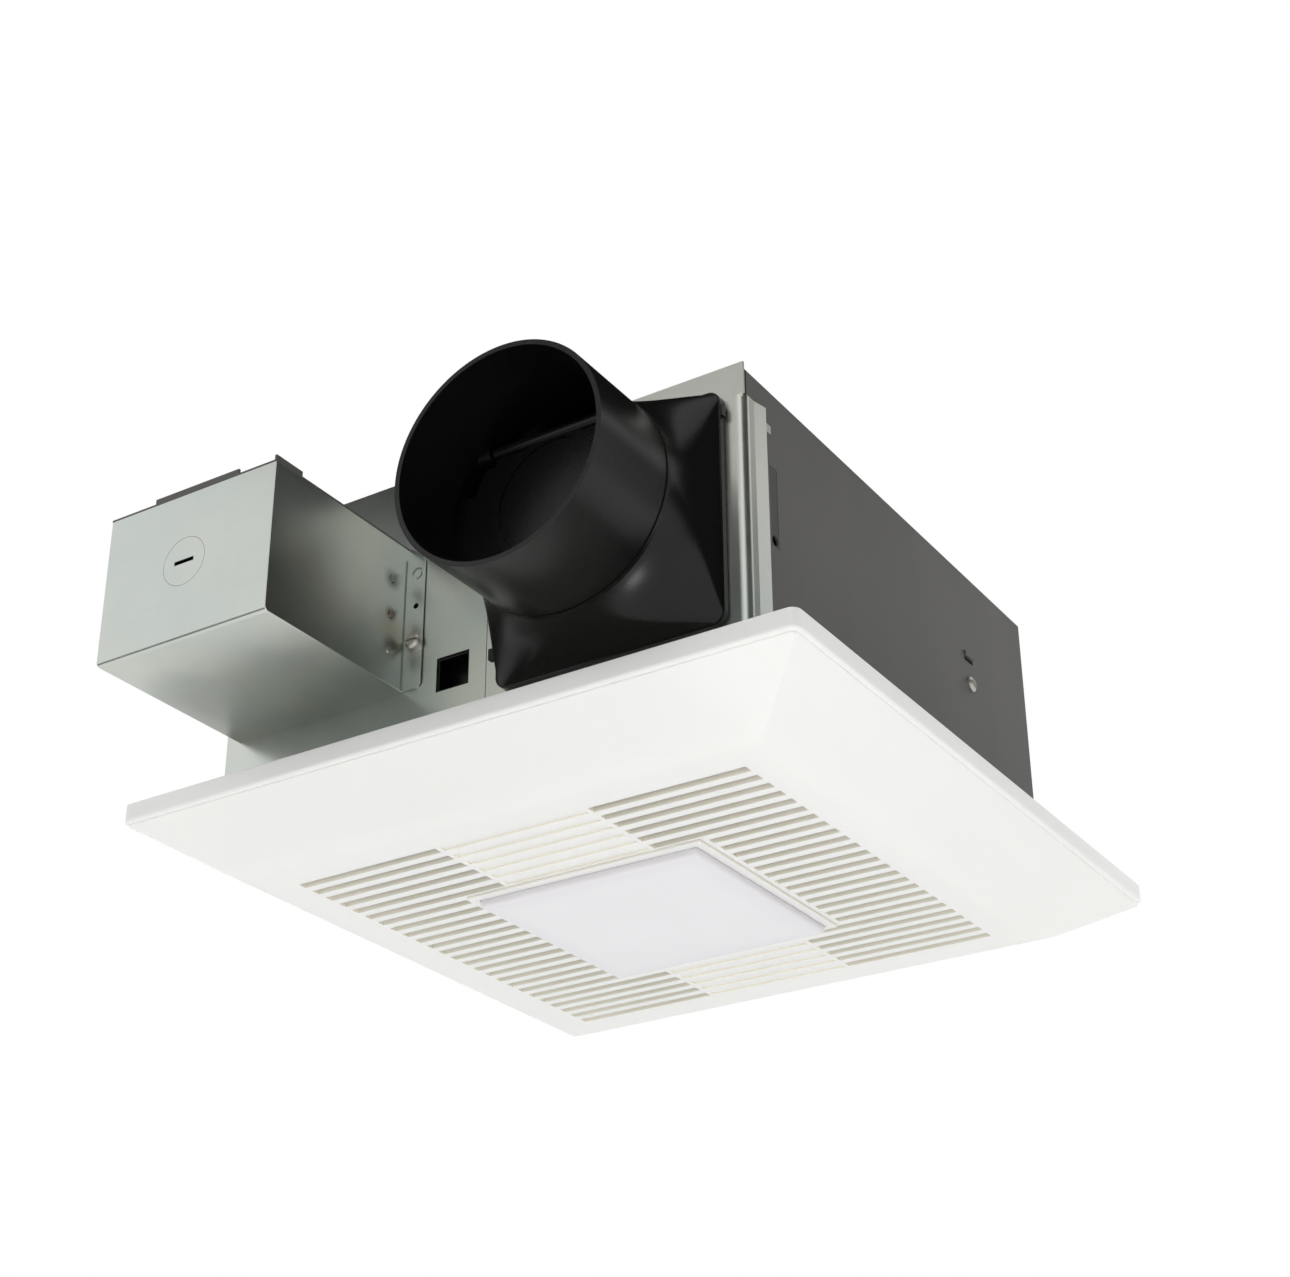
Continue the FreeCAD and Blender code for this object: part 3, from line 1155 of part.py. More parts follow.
def light():
    """Lens cup in its frame, under a pan that holds the light board on standoffs, and the driver."""
    outer = "(lens_width / 2)"
    low = "(-face_depth - lens_drop)"
    cup = block("lens_cup", (f"-{outer}", outer), (f"-{outer}", outer), (low, FACE_INSIDE))
    bottom = -size.face_depth - size.lens_drop
    soft_cup = soften("lens_cup_soft", cup, size.lens_edge,
                      lambda middle, edge: middle.z < bottom + size.lens_edge
                      or edge.BoundBox.ZLength > size.lens_drop)
    flange = f"({outer} + lens_flange)"
    shelf = block("lens_shelf", (f"-{flange}", flange), (f"-{flange}", flange),
                  (FACE_INSIDE, f"{FACE_INSIDE} + lens_wall"))
    inner = f"({outer} - lens_wall)"
    hollow = block("lens_hollow", (f"-{inner}", inner), (f"-{inner}", inner),
                   (f"{low} + lens_wall", f"{FACE_INSIDE} + 2 * lens_wall"))
    keep(cut("light_lens", fuse("lens_solid", soft_cup, shelf), hollow))

    edge = f"({outer} + lens_fit + frame_border)"
    gap = f"({outer} + lens_fit)"
    ring = block("frame_outer", (f"-{edge}", edge), (f"-{edge}", edge),
                 ("-face_depth - frame_rise", "-face_depth"))
    half_way = -size.face_depth - size.frame_rise / 2
    soft_ring = soften("frame_soft", ring, 0.6 * size.frame_rise, lambda middle, edge: middle.z < half_way)
    middle_hole = block("frame_hole", (f"-{gap}", gap), (f"-{gap}", gap),
                        ("-face_depth - 2 * frame_rise", "-face_depth + 1"))
    keep(cut("lens_frame", soft_ring, middle_hole))

    wide = "(pan_width / 2)"
    roof = f"({FACE_INSIDE} + pan_height)"
    pan = block("pan_outer", (f"-{wide}", wide), (f"-{wide}", wide), (FACE_INSIDE, roof))
    room = "(pan_width / 2 - pan_wall)"
    under = f"({roof} - pan_wall)"
    keep(cut("light_pan", pan, block("pan_room", (f"-{room}", room), (f"-{room}", room),
                                     (f"{FACE_INSIDE} - 1", under))))
    side = "(board_width / 2)"
    board_top = f"({under} - board_drop)"
    under_board = f"({board_top} - board_wall)"
    board = block("board_sheet", (f"-{side}", side), (f"-{side}", side), (under_board, board_top))
    spread = "(board_width / 2 - standoff_inset)"
    corners = [(x, y) for x in (-1, 1) for y in (-1, 1)]
    holes = [rod(f"board_hole_{n}", "z", (f"{x} * {spread}", f"{y} * {spread}", f"{under_board} - 1"),
                 "screw_hole", "board_wall + 2") for n, (x, y) in enumerate(corners)]
    keep(cut("light_board", board, *holes))
    head_foot = f"({under_board} - screw_head_height)"
    standoff = turned_piece("standoff", [
        ("0", head_foot), ("screw_head_radius", head_foot), ("screw_head_radius", under_board),
        ("screw_radius", under_board), ("screw_radius", board_top), ("standoff_radius", board_top),
        ("standoff_radius", under), ("0", under)])
    reach = size.board_width / 2 - size.standoff_inset
    keep(copies("light_standoffs", standoff, [
        Placement(Vector(x * reach, y * reach, 0), Rotation()) for x, y in corners]))
    chip_span = ("-emitter_width / 2", "emitter_width / 2")
    chip = block("emitter", chip_span, chip_span, (f"{under_board} - emitter_wall", under_board))
    rows = round(size.emitter_rows)
    spots = [(n - (rows - 1) / 2) * size.emitter_pitch for n in range(rows)]
    chip_places = [Placement(Vector(x, y, 0), Rotation()) for x in spots for y in spots]
    keep(copies("light_emitters", chip, chip_places))
    keep(block("light_driver", ("-driver_length / 2", "driver_length / 2"),
               ("-driver_width / 2", "driver_width / 2"), (f"{under} - driver_height", under)))


def wire_tube(path, start, aim):
    """A round wire along a path of straight runs and arcs."""
    ring = Part.Wire(Part.Circle(start, aim, size.wire_radius).toShape())
    shell = Part.BRepOffsetAPI.MakePipeShell(path)
    shell.add(ring)
    shell.build()
    shell.makeSolid()
    return shell.shape()


def coil(middle):
    """The middle turns of a spring: one wire wound about the Y axis on quarter-turn arcs."""
    quarters = 4 * round(size.coil_turns)
    length = size.coil_turns * size.coil_pitch

    def spot(turns):
        angle = 2 * math.pi * turns
        along = turns * size.coil_pitch - length / 2
        return middle + Vector(size.spring_radius * math.cos(angle), along,
                               size.spring_radius * math.sin(angle))

    arcs = [Part.Arc(spot(n / 4), spot((n + 0.5) / 4), spot((n + 1) / 4)).toShape()
            for n in range(quarters)]
    aim = Vector(0, size.coil_pitch, 2 * math.pi * size.spring_radius)
    return wire_tube(Part.Wire(arcs), spot(0), aim)


def leg(middle, side):
    """One spring leg: an end turn round the holder's pin and a straight wire that leans out to its side."""
    lean = math.radians(size.leg_angle)
    offset = size.coil_turns * size.coil_pitch / 2 + size.wire_radius + size.end_turn_gap + size.wire_radius
    hub = middle + Vector(0, side * offset, 0)
    aim = Vector(side * math.sin(lean), 0, math.cos(lean))
    out = Vector(-side * math.cos(lean), 0, math.sin(lean))
    start = hub + out * size.spring_radius
    turn = Part.makeTorus(size.spring_radius, size.wire_radius, hub, Vector(0, 1, 0))
    straight = Part.makeCylinder(size.wire_radius, size.leg_length, start, aim)
    tip = Part.makeSphere(size.wire_radius, start + aim * size.leg_length)
    return turn.multiFuse([straight, tip])


def springs():
    """Two torsion springs: holders and coils on the grille, legs that pass up through the housing's lip."""
    middles = [Vector(0, row, -size.spring_height) for row in spring_rows]
    half_wire = size.coil_turns * size.coil_pitch / 2 + size.end_turn_gap + 3 * size.wire_radius
    holders = []
    for middle in middles:
        reach = half_wire + size.ear_gap
        pieces = []
        for side in (-1, 1):
            y = middle.y + (reach if side > 0 else -reach - size.holder_ear)
            top = -size.spring_height + size.spring_radius + size.wire_radius
            pieces.append(Part.makeBox(2 * size.holder_half, size.holder_ear, top - face_inside,
                                       Vector(-size.holder_half, y, face_inside)))
        base = Part.makeBox(2 * size.holder_half, 2 * (reach + size.holder_ear), size.holder_ear,
                            Vector(-size.holder_half, middle.y - reach - size.holder_ear, face_inside))
        pin = Part.makeCylinder(size.holder_pin_radius, 2 * (reach + size.holder_ear),
                                middle - Vector(0, reach + size.holder_ear, 0), Vector(0, 1, 0))
        holders.append(base.multiFuse(pieces + [pin]).removeSplitter())
    keep(formed("spring_holders", Part.makeCompound(holders)))
    keep(formed("spring_coils", Part.makeCompound([coil(middle) for middle in middles])))
    for hand, side in (("right", 1), ("left", -1)):
        keep(formed(f"{hand}_spring_legs", Part.makeCompound([leg(middle, side) for middle in middles])))
    print("gap between the coil's turns", round(size.coil_pitch - 2 * size.wire_radius, 2), "mm")


housing_shell()
slot_plugs()
adapter_plate()
wiring_plate()
duct_adapter()
adapter_gasket()
damper()
wiring_box()
wire_socket()
sheet_screws()
blower_wheel()
shaft_and_nut()
motor()
scroll_casing()
inlet_plate()
cover_screws()
motor_control()
grille_panel()
light()
springs()

doc.recompute()
for thing in doc.Objects:
    if "Invalid" in thing.State or "Error" in thing.State:
        raise RuntimeError(f"{thing.Label} failed: {thing.State}")
for piece in nodes:
    if piece.Shape.isNull() or not piece.Shape.isValid():
        raise RuntimeError(f"{piece.Label} has no valid shape")

os.makedirs("parts", exist_ok=True)
for piece in nodes:
    piece.Shape.exportStep(f"parts/{piece.Label}.step")
    print(piece.Label, len(piece.Shape.Solids), "solids", round(piece.Shape.Volume), "mm3")
print(len(nodes), "nodes")
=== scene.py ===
# %% [markdown]
# # Ceiling exhaust fan with a light in its grille
# The shapes come ready made from the engineering model, in metres, with the origin in the middle of the
# grille on the ceiling's face. This lesson dresses them: it sets the camera where the photographer stood,
# lights the fan plainly, and gives every piece the finish of the material that it is made of.

import json

import bpy
from mathutils import Matrix, Vector

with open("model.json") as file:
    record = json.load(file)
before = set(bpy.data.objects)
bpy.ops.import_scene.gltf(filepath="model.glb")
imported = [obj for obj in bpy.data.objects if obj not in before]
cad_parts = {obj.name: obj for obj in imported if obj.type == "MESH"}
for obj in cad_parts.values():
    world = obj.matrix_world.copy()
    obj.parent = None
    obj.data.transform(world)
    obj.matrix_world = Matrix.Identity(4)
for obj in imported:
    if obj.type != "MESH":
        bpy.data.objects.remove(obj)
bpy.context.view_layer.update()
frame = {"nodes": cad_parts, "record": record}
pieces = frame["nodes"]
scene = bpy.context.scene
scene.view_settings.view_transform = "Standard"

# %% [markdown]
# ## The camera
# The photograph looks up at the fan from below its front right corner. A camera could be aimed by eye, but
# here its place was worked out from the straight edges of the grille and the housing, so the three
# directions of the picture are written down and become the columns of the camera's matrix.

# %% Camera
CAMERA_PLACE = Vector((0.5141, -0.8171, -0.4013))
LOOKS_ALONG = Vector((-0.47422, 0.74733, 0.46542))
PICTURE_RIGHT = Vector((0.84287, 0.53809, -0.00521))
SENSOR_MM = 36.0
LENS_MM = 64.88
NEAREST_SEEN = 0.05

picture_up = PICTURE_RIGHT.cross(LOOKS_ALONG).normalized()
turned = Matrix((PICTURE_RIGHT, picture_up, -LOOKS_ALONG)).transposed()
camera = bpy.data.objects.new("camera", bpy.data.cameras.new("camera"))
camera.data.sensor_width = SENSOR_MM
camera.data.lens = LENS_MM
camera.data.clip_start = NEAREST_SEEN
camera.matrix_world = Matrix.Translation(CAMERA_PLACE) @ turned.to_4x4()
scene.collection.objects.link(camera)
scene.camera = camera
print("camera at", [round(v, 3) for v in CAMERA_PLACE])

# %% [markdown]
# ## One way to write a colour, one way to add a shader node
# Every finish below is a small tree of shader nodes. Typing each node takes four lines, so one helper adds
# a node with its settings, its values and its links. Colours are written as sRGB hex, the way they are read
# off a picture, and one function turns them into the linear numbers that the renderer works with.

# %% Colour and node
def colour(hex_text):
    """Linear red, green, blue and alpha from an sRGB hex value."""
    shares = [int(hex_text[start:start + 2], 16) / 255 for start in (1, 3, 5)]
    return [s / 12.92 if s <= 0.04045 else ((s + 0.055) / 1.055) ** 2.4 for s in shares] + [1.0]


def add(tree, kind, values=None, links=None, **settings):
    """Adds one node: values fill its sockets, links join sockets to outputs, settings are its options."""
    made = tree.nodes.new(kind)
    for name, setting in settings.items():
        setattr(made, name, setting)
    for socket, value in (values or {}).items():
        made.inputs[socket].default_value = value
    for socket, output in (links or {}).items():
        tree.links.new(output, made.inputs[socket])
    return made


print("mid grey is", [round(v, 3) for v in colour("#808080")])

# %% [markdown]
# ## The start of every finish
# The grain of a real material has a size and runs through the whole piece. A pattern could be laid on by
# unwrapping each mesh, but all pieces lie in the fan's own coordinates, in metres. A pattern in those
# coordinates needs no unwrapping and is as large as its real width says. Each finish starts with its
# constant values on the shader's own sockets.

# %% Start of a finish
def per_metre(size_mm):
    """The scale of a pattern whose features are this many millimetres wide."""
    return 1000.0 / size_mm


def start_finish(name, **shader_values):
    """A new material: its tree, its shader with the constants set, and the surface's own coordinates."""
    material = bpy.data.materials.new(name)
    material.use_nodes = True
    tree = material.node_tree
    shader = tree.nodes["Principled BSDF"]
    for socket, value in shader_values.items():
        shader.inputs[socket.replace("_", " ")].default_value = value
    place = add(tree, "ShaderNodeTexCoord").outputs["Object"]
    return material, tree, shader, place


print("a pattern 10 mm wide has the scale", per_metre(10))

# %% [markdown]
# ## The white ground
# The photograph has a bare white ground. One bright world could be the ground and the only light, but it
# would bleach the fan. So the world is white to the camera, to reflections and through clear pieces, and
# lights the fan at a plain level.

# %% World
WORLD_LIGHT = 0.55
WORLD_SEEN = 1.0
world = bpy.data.worlds.new("white_studio")
scene.world = world
world.use_nodes = True
sky = world.node_tree
rays = add(sky, "ShaderNodeLightPath").outputs
seen = add(sky, "ShaderNodeMath", links={0: rays["Is Camera Ray"], 1: rays["Is Glossy Ray"]},
           operation="MAXIMUM")
shown = add(sky, "ShaderNodeMath", links={0: seen.outputs[0], 1: rays["Is Transmission Ray"]},
            operation="MAXIMUM")
level = add(sky, "ShaderNodeMapRange", {"To Min": WORLD_LIGHT, "To Max": WORLD_SEEN},
            {"Value": shown.outputs[0]})
ground = sky.nodes["Background"]
ground.inputs["Color"].default_value = colour("#FFFFFF")
sky.links.new(level.outputs["Result"], ground.inputs["Strength"])
print("world lights the fan at", WORLD_LIGHT)

# %% [markdown]
# ## A pale floor
# When the fan is seen from above, something has to carry its soft shadow. A wall round it would colour the
# metal, so a matt white floor lies far below. Seen by the camera it glows a little more with distance, so
# that it runs into the white ground without a horizon. Metal sees it a little brighter than it is lit,
# because the sheet metal in the photograph mirrors a bright studio floor.

# %% Floor paint
FLOOR_CLOUD_MM = 400
FLOOR_IN_METAL = 0.40
FLOOR_FADE = 0.62
FADE_FROM = 1.65
FADE_TO = 4.2
floor_paint, tree, shader, place = start_finish("matt_white_paint", Roughness=0.9)
cloud = add(tree, "ShaderNodeTexNoise", {"Scale": per_metre(FLOOR_CLOUD_MM), "Detail": 3.0},
            {"Vector": place})
tint = add(tree, "ShaderNodeMix", {"A": colour("#F1F1EF"), "B": colour("#F7F7F5")},
           {"Factor": cloud.outputs["Fac"]}, data_type="RGBA")
rays = add(tree, "ShaderNodeLightPath").outputs
bright = add(tree, "ShaderNodeMath", {1: FLOOR_IN_METAL}, {0: rays["Is Glossy Ray"]}, operation="MULTIPLY")
away = add(tree, "ShaderNodeVectorMath", links={0: place}, operation="LENGTH")
fade = add(tree, "ShaderNodeMapRange",
           {"From Min": FADE_FROM, "From Max": FADE_TO, "To Min": 0.0, "To Max": FLOOR_FADE},
           {"Value": away.outputs["Value"]})
faded = add(tree, "ShaderNodeMath", links={0: rays["Is Camera Ray"], 1: fade.outputs["Result"]},
            operation="MULTIPLY")
glow = add(tree, "ShaderNodeMath", links={0: bright.outputs[0], 1: faded.outputs[0]}, operation="ADD")
tree.links.new(tint.outputs["Result"], shader.inputs["Base Color"])
tree.links.new(tint.outputs["Result"], shader.inputs["Emission Color"])
tree.links.new(glow.outputs[0], shader.inputs["Emission Strength"])
print(floor_paint.name, "fades from", FADE_FROM, "to", FADE_TO, "m")

# %% Floor
FLOOR_Z = -1.60
FLOOR_HALF = 6.0
SQUARE = ((-1, -1), (1, -1), (1, 1), (-1, 1))


def flat_sheet(name, half_wide, half_high, finish, z=0.0):
    """A flat sheet with four corners round its own origin, at the height z."""
    mesh = bpy.data.meshes.new(name)
    mesh.from_pydata([(x * half_wide, y * half_high, z) for x, y in SQUARE], [], [(0, 1, 2, 3)])
    mesh.materials.append(finish)
    sheet = bpy.data.objects.new(name, mesh)
    scene.collection.objects.link(sheet)
    return sheet


floor = flat_sheet("floor", FLOOR_HALF, FLOOR_HALF, floor_paint, FLOOR_Z)
print("floor", FLOOR_Z, "m")

# %% [markdown]
# ## Soft lamps
# The photograph has soft, pale shades and no hard shadow. A sun or a point lamp would draw one, so every
# lamp is a square that shines from its whole face. The fan looks down, so a large one stands below it, as
# square to the two near slopes of the grille as to its middle, and all three come out about equally white.
# A key lamp stands high in front on the left, one beside the housing lights its dark side, and two more
# light the top and the back for other views. White squares would show in the sheet metal, so reflections
# see only the small lamp: it draws the soft highlight on the black flare.

# %% Lamps
FAN_MIDDLE = (0.0, 0.0, 0.0)
HOUSING_SIDE = (0.13, 0.05, 0.05)
HOUSING_MIDDLE = (0.0, 0.0, 0.05)
HOUSING_TOP = (0.0, 0.0, 0.1)


def soft_lamp(name, spot, aim, size, watts, mirrored=False):
    """A square soft lamp at a spot, turned towards a point; only a mirrored one shows in shiny surfaces."""
    light = bpy.data.lights.new(name, "AREA")
    light.shape = "SQUARE"
    light.size = size
    light.energy = watts
    lamp = bpy.data.objects.new(name, light)
    lamp.location = spot
    lamp.rotation_euler = (Vector(aim) - Vector(spot)).to_track_quat("-Z", "Y").to_euler()
    lamp.visible_camera = False
    lamp.visible_glossy = mirrored
    scene.collection.objects.link(lamp)
    return lamp


lamps = [
    soft_lamp("lamp_below", (0.20, -0.45, -1.25), FAN_MIDDLE, size=1.6, watts=8.0),
    soft_lamp("lamp_small", (0.66, -0.60, -0.96), FAN_MIDDLE, size=0.3, watts=2.5, mirrored=True),
    soft_lamp("lamp_key", (-1.25, -1.35, 0.95), FAN_MIDDLE, size=1.2, watts=6.0),
    soft_lamp("lamp_right", (0.62, 0.80, 0.22), HOUSING_SIDE, size=0.6, watts=3.5),
    soft_lamp("lamp_above", (0.20, 0.50, 1.60), HOUSING_TOP, size=1.6, watts=10.0),
    soft_lamp("lamp_behind", (-1.20, 1.30, 0.30), HOUSING_MIDDLE, size=1.2, watts=6.0),
]
print("lamps:", [lamp.name for lamp in lamps])

# %% [markdown]
# ## Cards that only the metal sees
# Bright sheet metal shows its surroundings, so in an all-white room it looks flat. A photographer puts up
# black flags and grey boards until each face has its own shade. Darker paint on a face would be wrong in any
# other light, so cards stand here too, and only reflections see them. Most stand a little over a metre away.
# Two hang close by: one over the housing shades the wall of the wiring box, and a small one before the front
# plate shades its top.

# %% Faces of the cards
FIBRE_MM = 3


def card_finish(name, dark, light):
    """A dull fibrous face for a card, between two tones."""
    material, tree, shader, place = start_finish(name, Roughness=1.0, Specular_IOR_Level=0.0)
    fibre = add(tree, "ShaderNodeTexNoise", {"Scale": per_metre(FIBRE_MM), "Detail": 2.0}, {"Vector": place})
    tone = add(tree, "ShaderNodeMix", {"A": colour(dark), "B": colour(light)},
               {"Factor": fibre.outputs["Fac"]}, data_type="RGBA")
    tree.links.new(tone.outputs["Result"], shader.inputs["Base Color"])
    return material


felt = card_finish("black_felt", "#1C1D1C", "#2A2B2A")
grey_board = card_finish("grey_board", "#DEE0DF", "#E8EAE9")
print(felt.name, grey_board.name)

# %% Cards
def studio_card(name, spot, wide, high, finish):
    """A flat card at a spot, turned to the fan, that only shiny surfaces see."""
    card = flat_sheet(name, wide / 2, high / 2, finish)
    card.location = spot
    card.rotation_euler = (-Vector(spot)).to_track_quat("Z", "Y").to_euler()
    card.visible_camera = False
    card.visible_diffuse = False
    card.visible_transmission = False
    card.visible_shadow = False
    return card


cards = [
    studio_card("card_right", (0.596, 1.019, 0.60), wide=0.30, high=1.05, finish=felt),
    studio_card("card_low_right", (0.86, 0.79, 0.40), wide=0.26, high=0.64, finish=felt),
    studio_card("card_front", (-0.16, -1.16, 0.76), wide=0.75, high=1.1, finish=grey_board),
    studio_card("card_front_right", (1.20, -0.25, 0.70), wide=1.6, high=0.9, finish=felt),
    studio_card("card_above", (-0.61, -0.67, 1.07), wide=1.0, high=0.54, finish=felt),
    studio_card("card_over", (0.04, 0.02, 0.28), wide=0.42, high=0.34, finish=felt),
    studio_card("card_plate", (-0.14, -0.258, 0.222), wide=0.16, high=0.10, finish=felt),
    studio_card("card_low_left", (-0.80, -1.00, -0.52), wide=0.8, high=0.5, finish=felt),
]
print("cards:", [card.name for card in cards])

# %% [markdown]
# ## Fine grain
# Moulded plastic, plated steel and cast metal all have a fine grain, which scatters the shine and keeps a
# surface from looking like glass. It could be modelled, but it is far finer than any mesh, so one noise
# changes the roughness and tilts the light a little. Five kinds of finish need the same three nodes, so one
# function adds them. Real grain is often 0.1 mm wide or less, too fine to show in the render, so each
# finish draws it as 0.6 mm or coarser.

# %% Grain
def fine_grain(tree, shader, place, grain_mm, roughness, strength, depth_mm=0.1, detail=2.0):
    """Gives a shader a grain: a range of roughness and a slight relief. Returns the noise."""
    smooth, rough = roughness
    grain = add(tree, "ShaderNodeTexNoise", {"Scale": per_metre(grain_mm), "Detail": detail},
                {"Vector": place})
    noise = grain.outputs["Fac"]
    shine = add(tree, "ShaderNodeMapRange", {"To Min": smooth, "To Max": rough}, {"Value": noise})
    relief = add(tree, "ShaderNodeBump", {"Strength": strength, "Distance": depth_mm / 1000},
                 {"Height": noise})
    tree.links.new(shine.outputs["Result"], shader.inputs["Roughness"])
    tree.links.new(relief.outputs["Normal"], shader.inputs["Normal"])
    return noise


print("grain 1 mm wide has the scale", per_metre(1))

# %% [markdown]
# ## White ABS: the grille and the frame of the light
# The grille is injection moulded from white ABS in a tool with a fine spark-eroded surface, which gives the
# eye an even satin with soft highlights. It could be one flat colour, but a moulding is never that even, so
# a slow drift changes the tone slightly, light spreads a little under the surface, and a fine grain breaks
# up the highlight.

# %% White moulded ABS
WHITE_DRIFT_MM = 120
WHITE_GRAIN_MM = 0.7
white_abs, tree, shader, place = start_finish(
    "white_moulded_abs", IOR=1.54, Subsurface_Weight=0.50, Subsurface_Scale=0.006,
    Subsurface_Radius=(1.0, 1.0, 0.95))
drift = add(tree, "ShaderNodeTexNoise", {"Scale": per_metre(WHITE_DRIFT_MM), "Detail": 2.0},
            {"Vector": place})
tone = add(tree, "ShaderNodeMix", {"A": colour("#ECECE9"), "B": colour("#F1F1EF")},
           {"Factor": drift.outputs["Fac"]}, data_type="RGBA")
fine_grain(tree, shader, place, WHITE_GRAIN_MM, roughness=(0.40, 0.50), strength=0.06)
print(white_abs.name)

# %% [markdown]
# ## Painted light on the walls of the air slots
# Light that has passed through the plastic makes the upright walls of the air slots a little lighter and
# warmer, and that light is painted into their colour here. They could be given a second material, but they
# belong to the same moulding, so their height and their facing pick them out. The height is measured on the
# grille itself, so it stays right if the grille is made deeper.

# %% Slot walls
SLOT_WALL_HIGH = 0.0033
UPRIGHT_WITHIN = 0.5


def edge_of(node, axis, pick):
    """Where a piece ends along an axis, in metres; pick is min or max."""
    return pick(vertex.co[axis] for vertex in pieces[node].data.vertices)


slot_top_z = edge_of("grille_panel", 2, min) + SLOT_WALL_HIGH
facing = add(tree, "ShaderNodeSeparateXYZ", links={0: add(tree, "ShaderNodeTexCoord").outputs["Normal"]})
upright = add(tree, "ShaderNodeMath", {1: 0.0, 2: UPRIGHT_WITHIN}, {0: facing.outputs["Z"]},
              operation="COMPARE")
height = add(tree, "ShaderNodeSeparateXYZ", links={0: place})
low = add(tree, "ShaderNodeMath", {1: slot_top_z}, {0: height.outputs["Z"]}, operation="LESS_THAN")
in_slot = add(tree, "ShaderNodeMath", links={0: upright.outputs[0], 1: low.outputs[0]}, operation="MULTIPLY")
# Painted light: the upright slot walls get a lighter, warmer colour that stands for the light in the slots.
painted_slot_light = add(tree, "ShaderNodeMix", {"B": colour("#F2ECDC")},
             {"Factor": in_slot.outputs[0], "A": tone.outputs["Result"]}, data_type="RGBA")
tree.links.new(painted_slot_light.outputs["Result"], shader.inputs["Base Color"])
print("slot walls below", round(slot_top_z, 4), "m")

# %% [markdown]
# ## Opal acrylic: the lens
# The lens is a shallow opal acrylic cup. It lets light through only diffusely, so unlit it reads as a faintly
# lavender white with a softer surface than the grille. Glass-like transmission would make it clear, so a
# little light spreading under the surface gives the depth. The cup's upright wall takes light away from
# its rim, and that shade is painted into the colour, so the tone deepens over the last centimetre or so; the
# larger of the two distances from the middle tells how near the rim is.

# %% Opal acrylic
MILK_MM = 45
FROST_MM = 0.9
LENS_LIP = 0.0018
RIM_WIDTH = 0.014
lens_half = edge_of("light_lens", 0, max) - LENS_LIP
opal, tree, shader, place = start_finish(
    "opal_acrylic", IOR=1.49, Subsurface_Weight=0.15, Subsurface_Scale=0.004,
    Subsurface_Radius=(1.0, 1.0, 1.0))
milk = add(tree, "ShaderNodeTexNoise", {"Scale": per_metre(MILK_MM), "Detail": 3.0}, {"Vector": place})
tone = add(tree, "ShaderNodeMix", {"A": colour("#E1E1E4"), "B": colour("#E7E7EA")},
           {"Factor": milk.outputs["Fac"]}, data_type="RGBA")
spread = add(tree, "ShaderNodeVectorMath", links={0: place}, operation="ABSOLUTE")
sides = add(tree, "ShaderNodeSeparateXYZ", links={0: spread.outputs["Vector"]})
outer = add(tree, "ShaderNodeMath", links={0: sides.outputs["X"], 1: sides.outputs["Y"]}, operation="MAXIMUM")
# Painted shade: the lens colour turns darker towards its rim, where the cup's wall takes light away.
rim = add(tree, "ShaderNodeMapRange", {"From Min": lens_half - RIM_WIDTH, "From Max": lens_half},
          {"Value": outer.outputs[0]}, interpolation_type="SMOOTHSTEP")
painted_rim_shade = add(tree, "ShaderNodeMix", {"B": colour("#DFDDE1")},
            {"Factor": rim.outputs["Result"], "A": tone.outputs["Result"]}, data_type="RGBA")
tree.links.new(painted_rim_shade.outputs["Result"], shader.inputs["Base Color"])
fine_grain(tree, shader, place, FROST_MM, roughness=(0.34, 0.46), strength=0.05)
print(opal.name, "lens half", round(lens_half, 4), "m")

# %% [markdown]
# ## Coated steel: the housing
# The housing is folded from steel sheet with a dark grey baked coating. The coating hides the metal, so it is
# not metallic: it has a low sheen, a faint orange peel about 2 mm wide, and long soft streaks up the sheet
# from the coating line. The dark grey is partly painted shade: it is the tone of the housing's side in
# shade, and the top and back have the same tone. Streaks could be drawn as bands, but a noise that is
# stretched upwards is less regular, as on the real sheet.

# %% Grey coating and painted shade
STREAK_MM = 22
STREAK_STRETCH = (1.0, 1.0, 0.12)
PEEL_MM = 2.0
PEEL_DEPTH = 0.0002
grey_coat_and_shade, tree, shader, place = start_finish("grey_coating_and_painted_shade", IOR=1.5, Specular_IOR_Level=0.35)
stretch = add(tree, "ShaderNodeMapping", {"Scale": STREAK_STRETCH}, {"Vector": place})
streak = add(tree, "ShaderNodeTexNoise", {"Scale": per_metre(STREAK_MM), "Detail": 4.0},
             {"Vector": stretch.outputs["Vector"]})
# Partly painted shade: this dark grey is the coating's tone and also the shade on the housing's side.
tone = add(tree, "ShaderNodeMix", {"A": colour("#4F4F4D"), "B": colour("#5D5C5A")},
           {"Factor": streak.outputs["Fac"]}, data_type="RGBA")
tree.links.new(tone.outputs["Result"], shader.inputs["Base Color"])
sheen = add(tree, "ShaderNodeMapRange", {"To Min": 0.42, "To Max": 0.54}, {"Value": streak.outputs["Fac"]})
tree.links.new(sheen.outputs["Result"], shader.inputs["Roughness"])
peel = add(tree, "ShaderNodeTexNoise", {"Scale": per_metre(PEEL_MM), "Detail": 1.0}, {"Vector": place})
relief = add(tree, "ShaderNodeBump", {"Strength": 0.08, "Distance": PEEL_DEPTH},
             {"Height": peel.outputs["Fac"]})
tree.links.new(relief.outputs["Normal"], shader.inputs["Normal"])
print(grey_coat_and_shade.name)

# %% [markdown]
# ## Galvanised sheet: the front plates and the wiring box
# Hot-dip zinc freezes into flat crystals, the spangle, each of which reflects a little differently. On this
# thin sheet they are soft and about 9 mm wide, under a cloudier change of shine that is some 50 mm wide.
# A single grey would look like paint, so cells of a Voronoi pattern stand for the crystals and noise for
# the clouds. The thin film that keeps zinc from rusting white drifts between blue-green and straw over
# some 70 mm. All of this is faint: the eye mostly sees a pale metal with a blurred, slightly uneven
# mirror image.

# %% Zinc and its film
SPANGLE_MM = 9
CLOUD_MM = 50
CLOUD_SHARE = 0.85
FILM_MM = 70
FILM_SHARE = 0.30


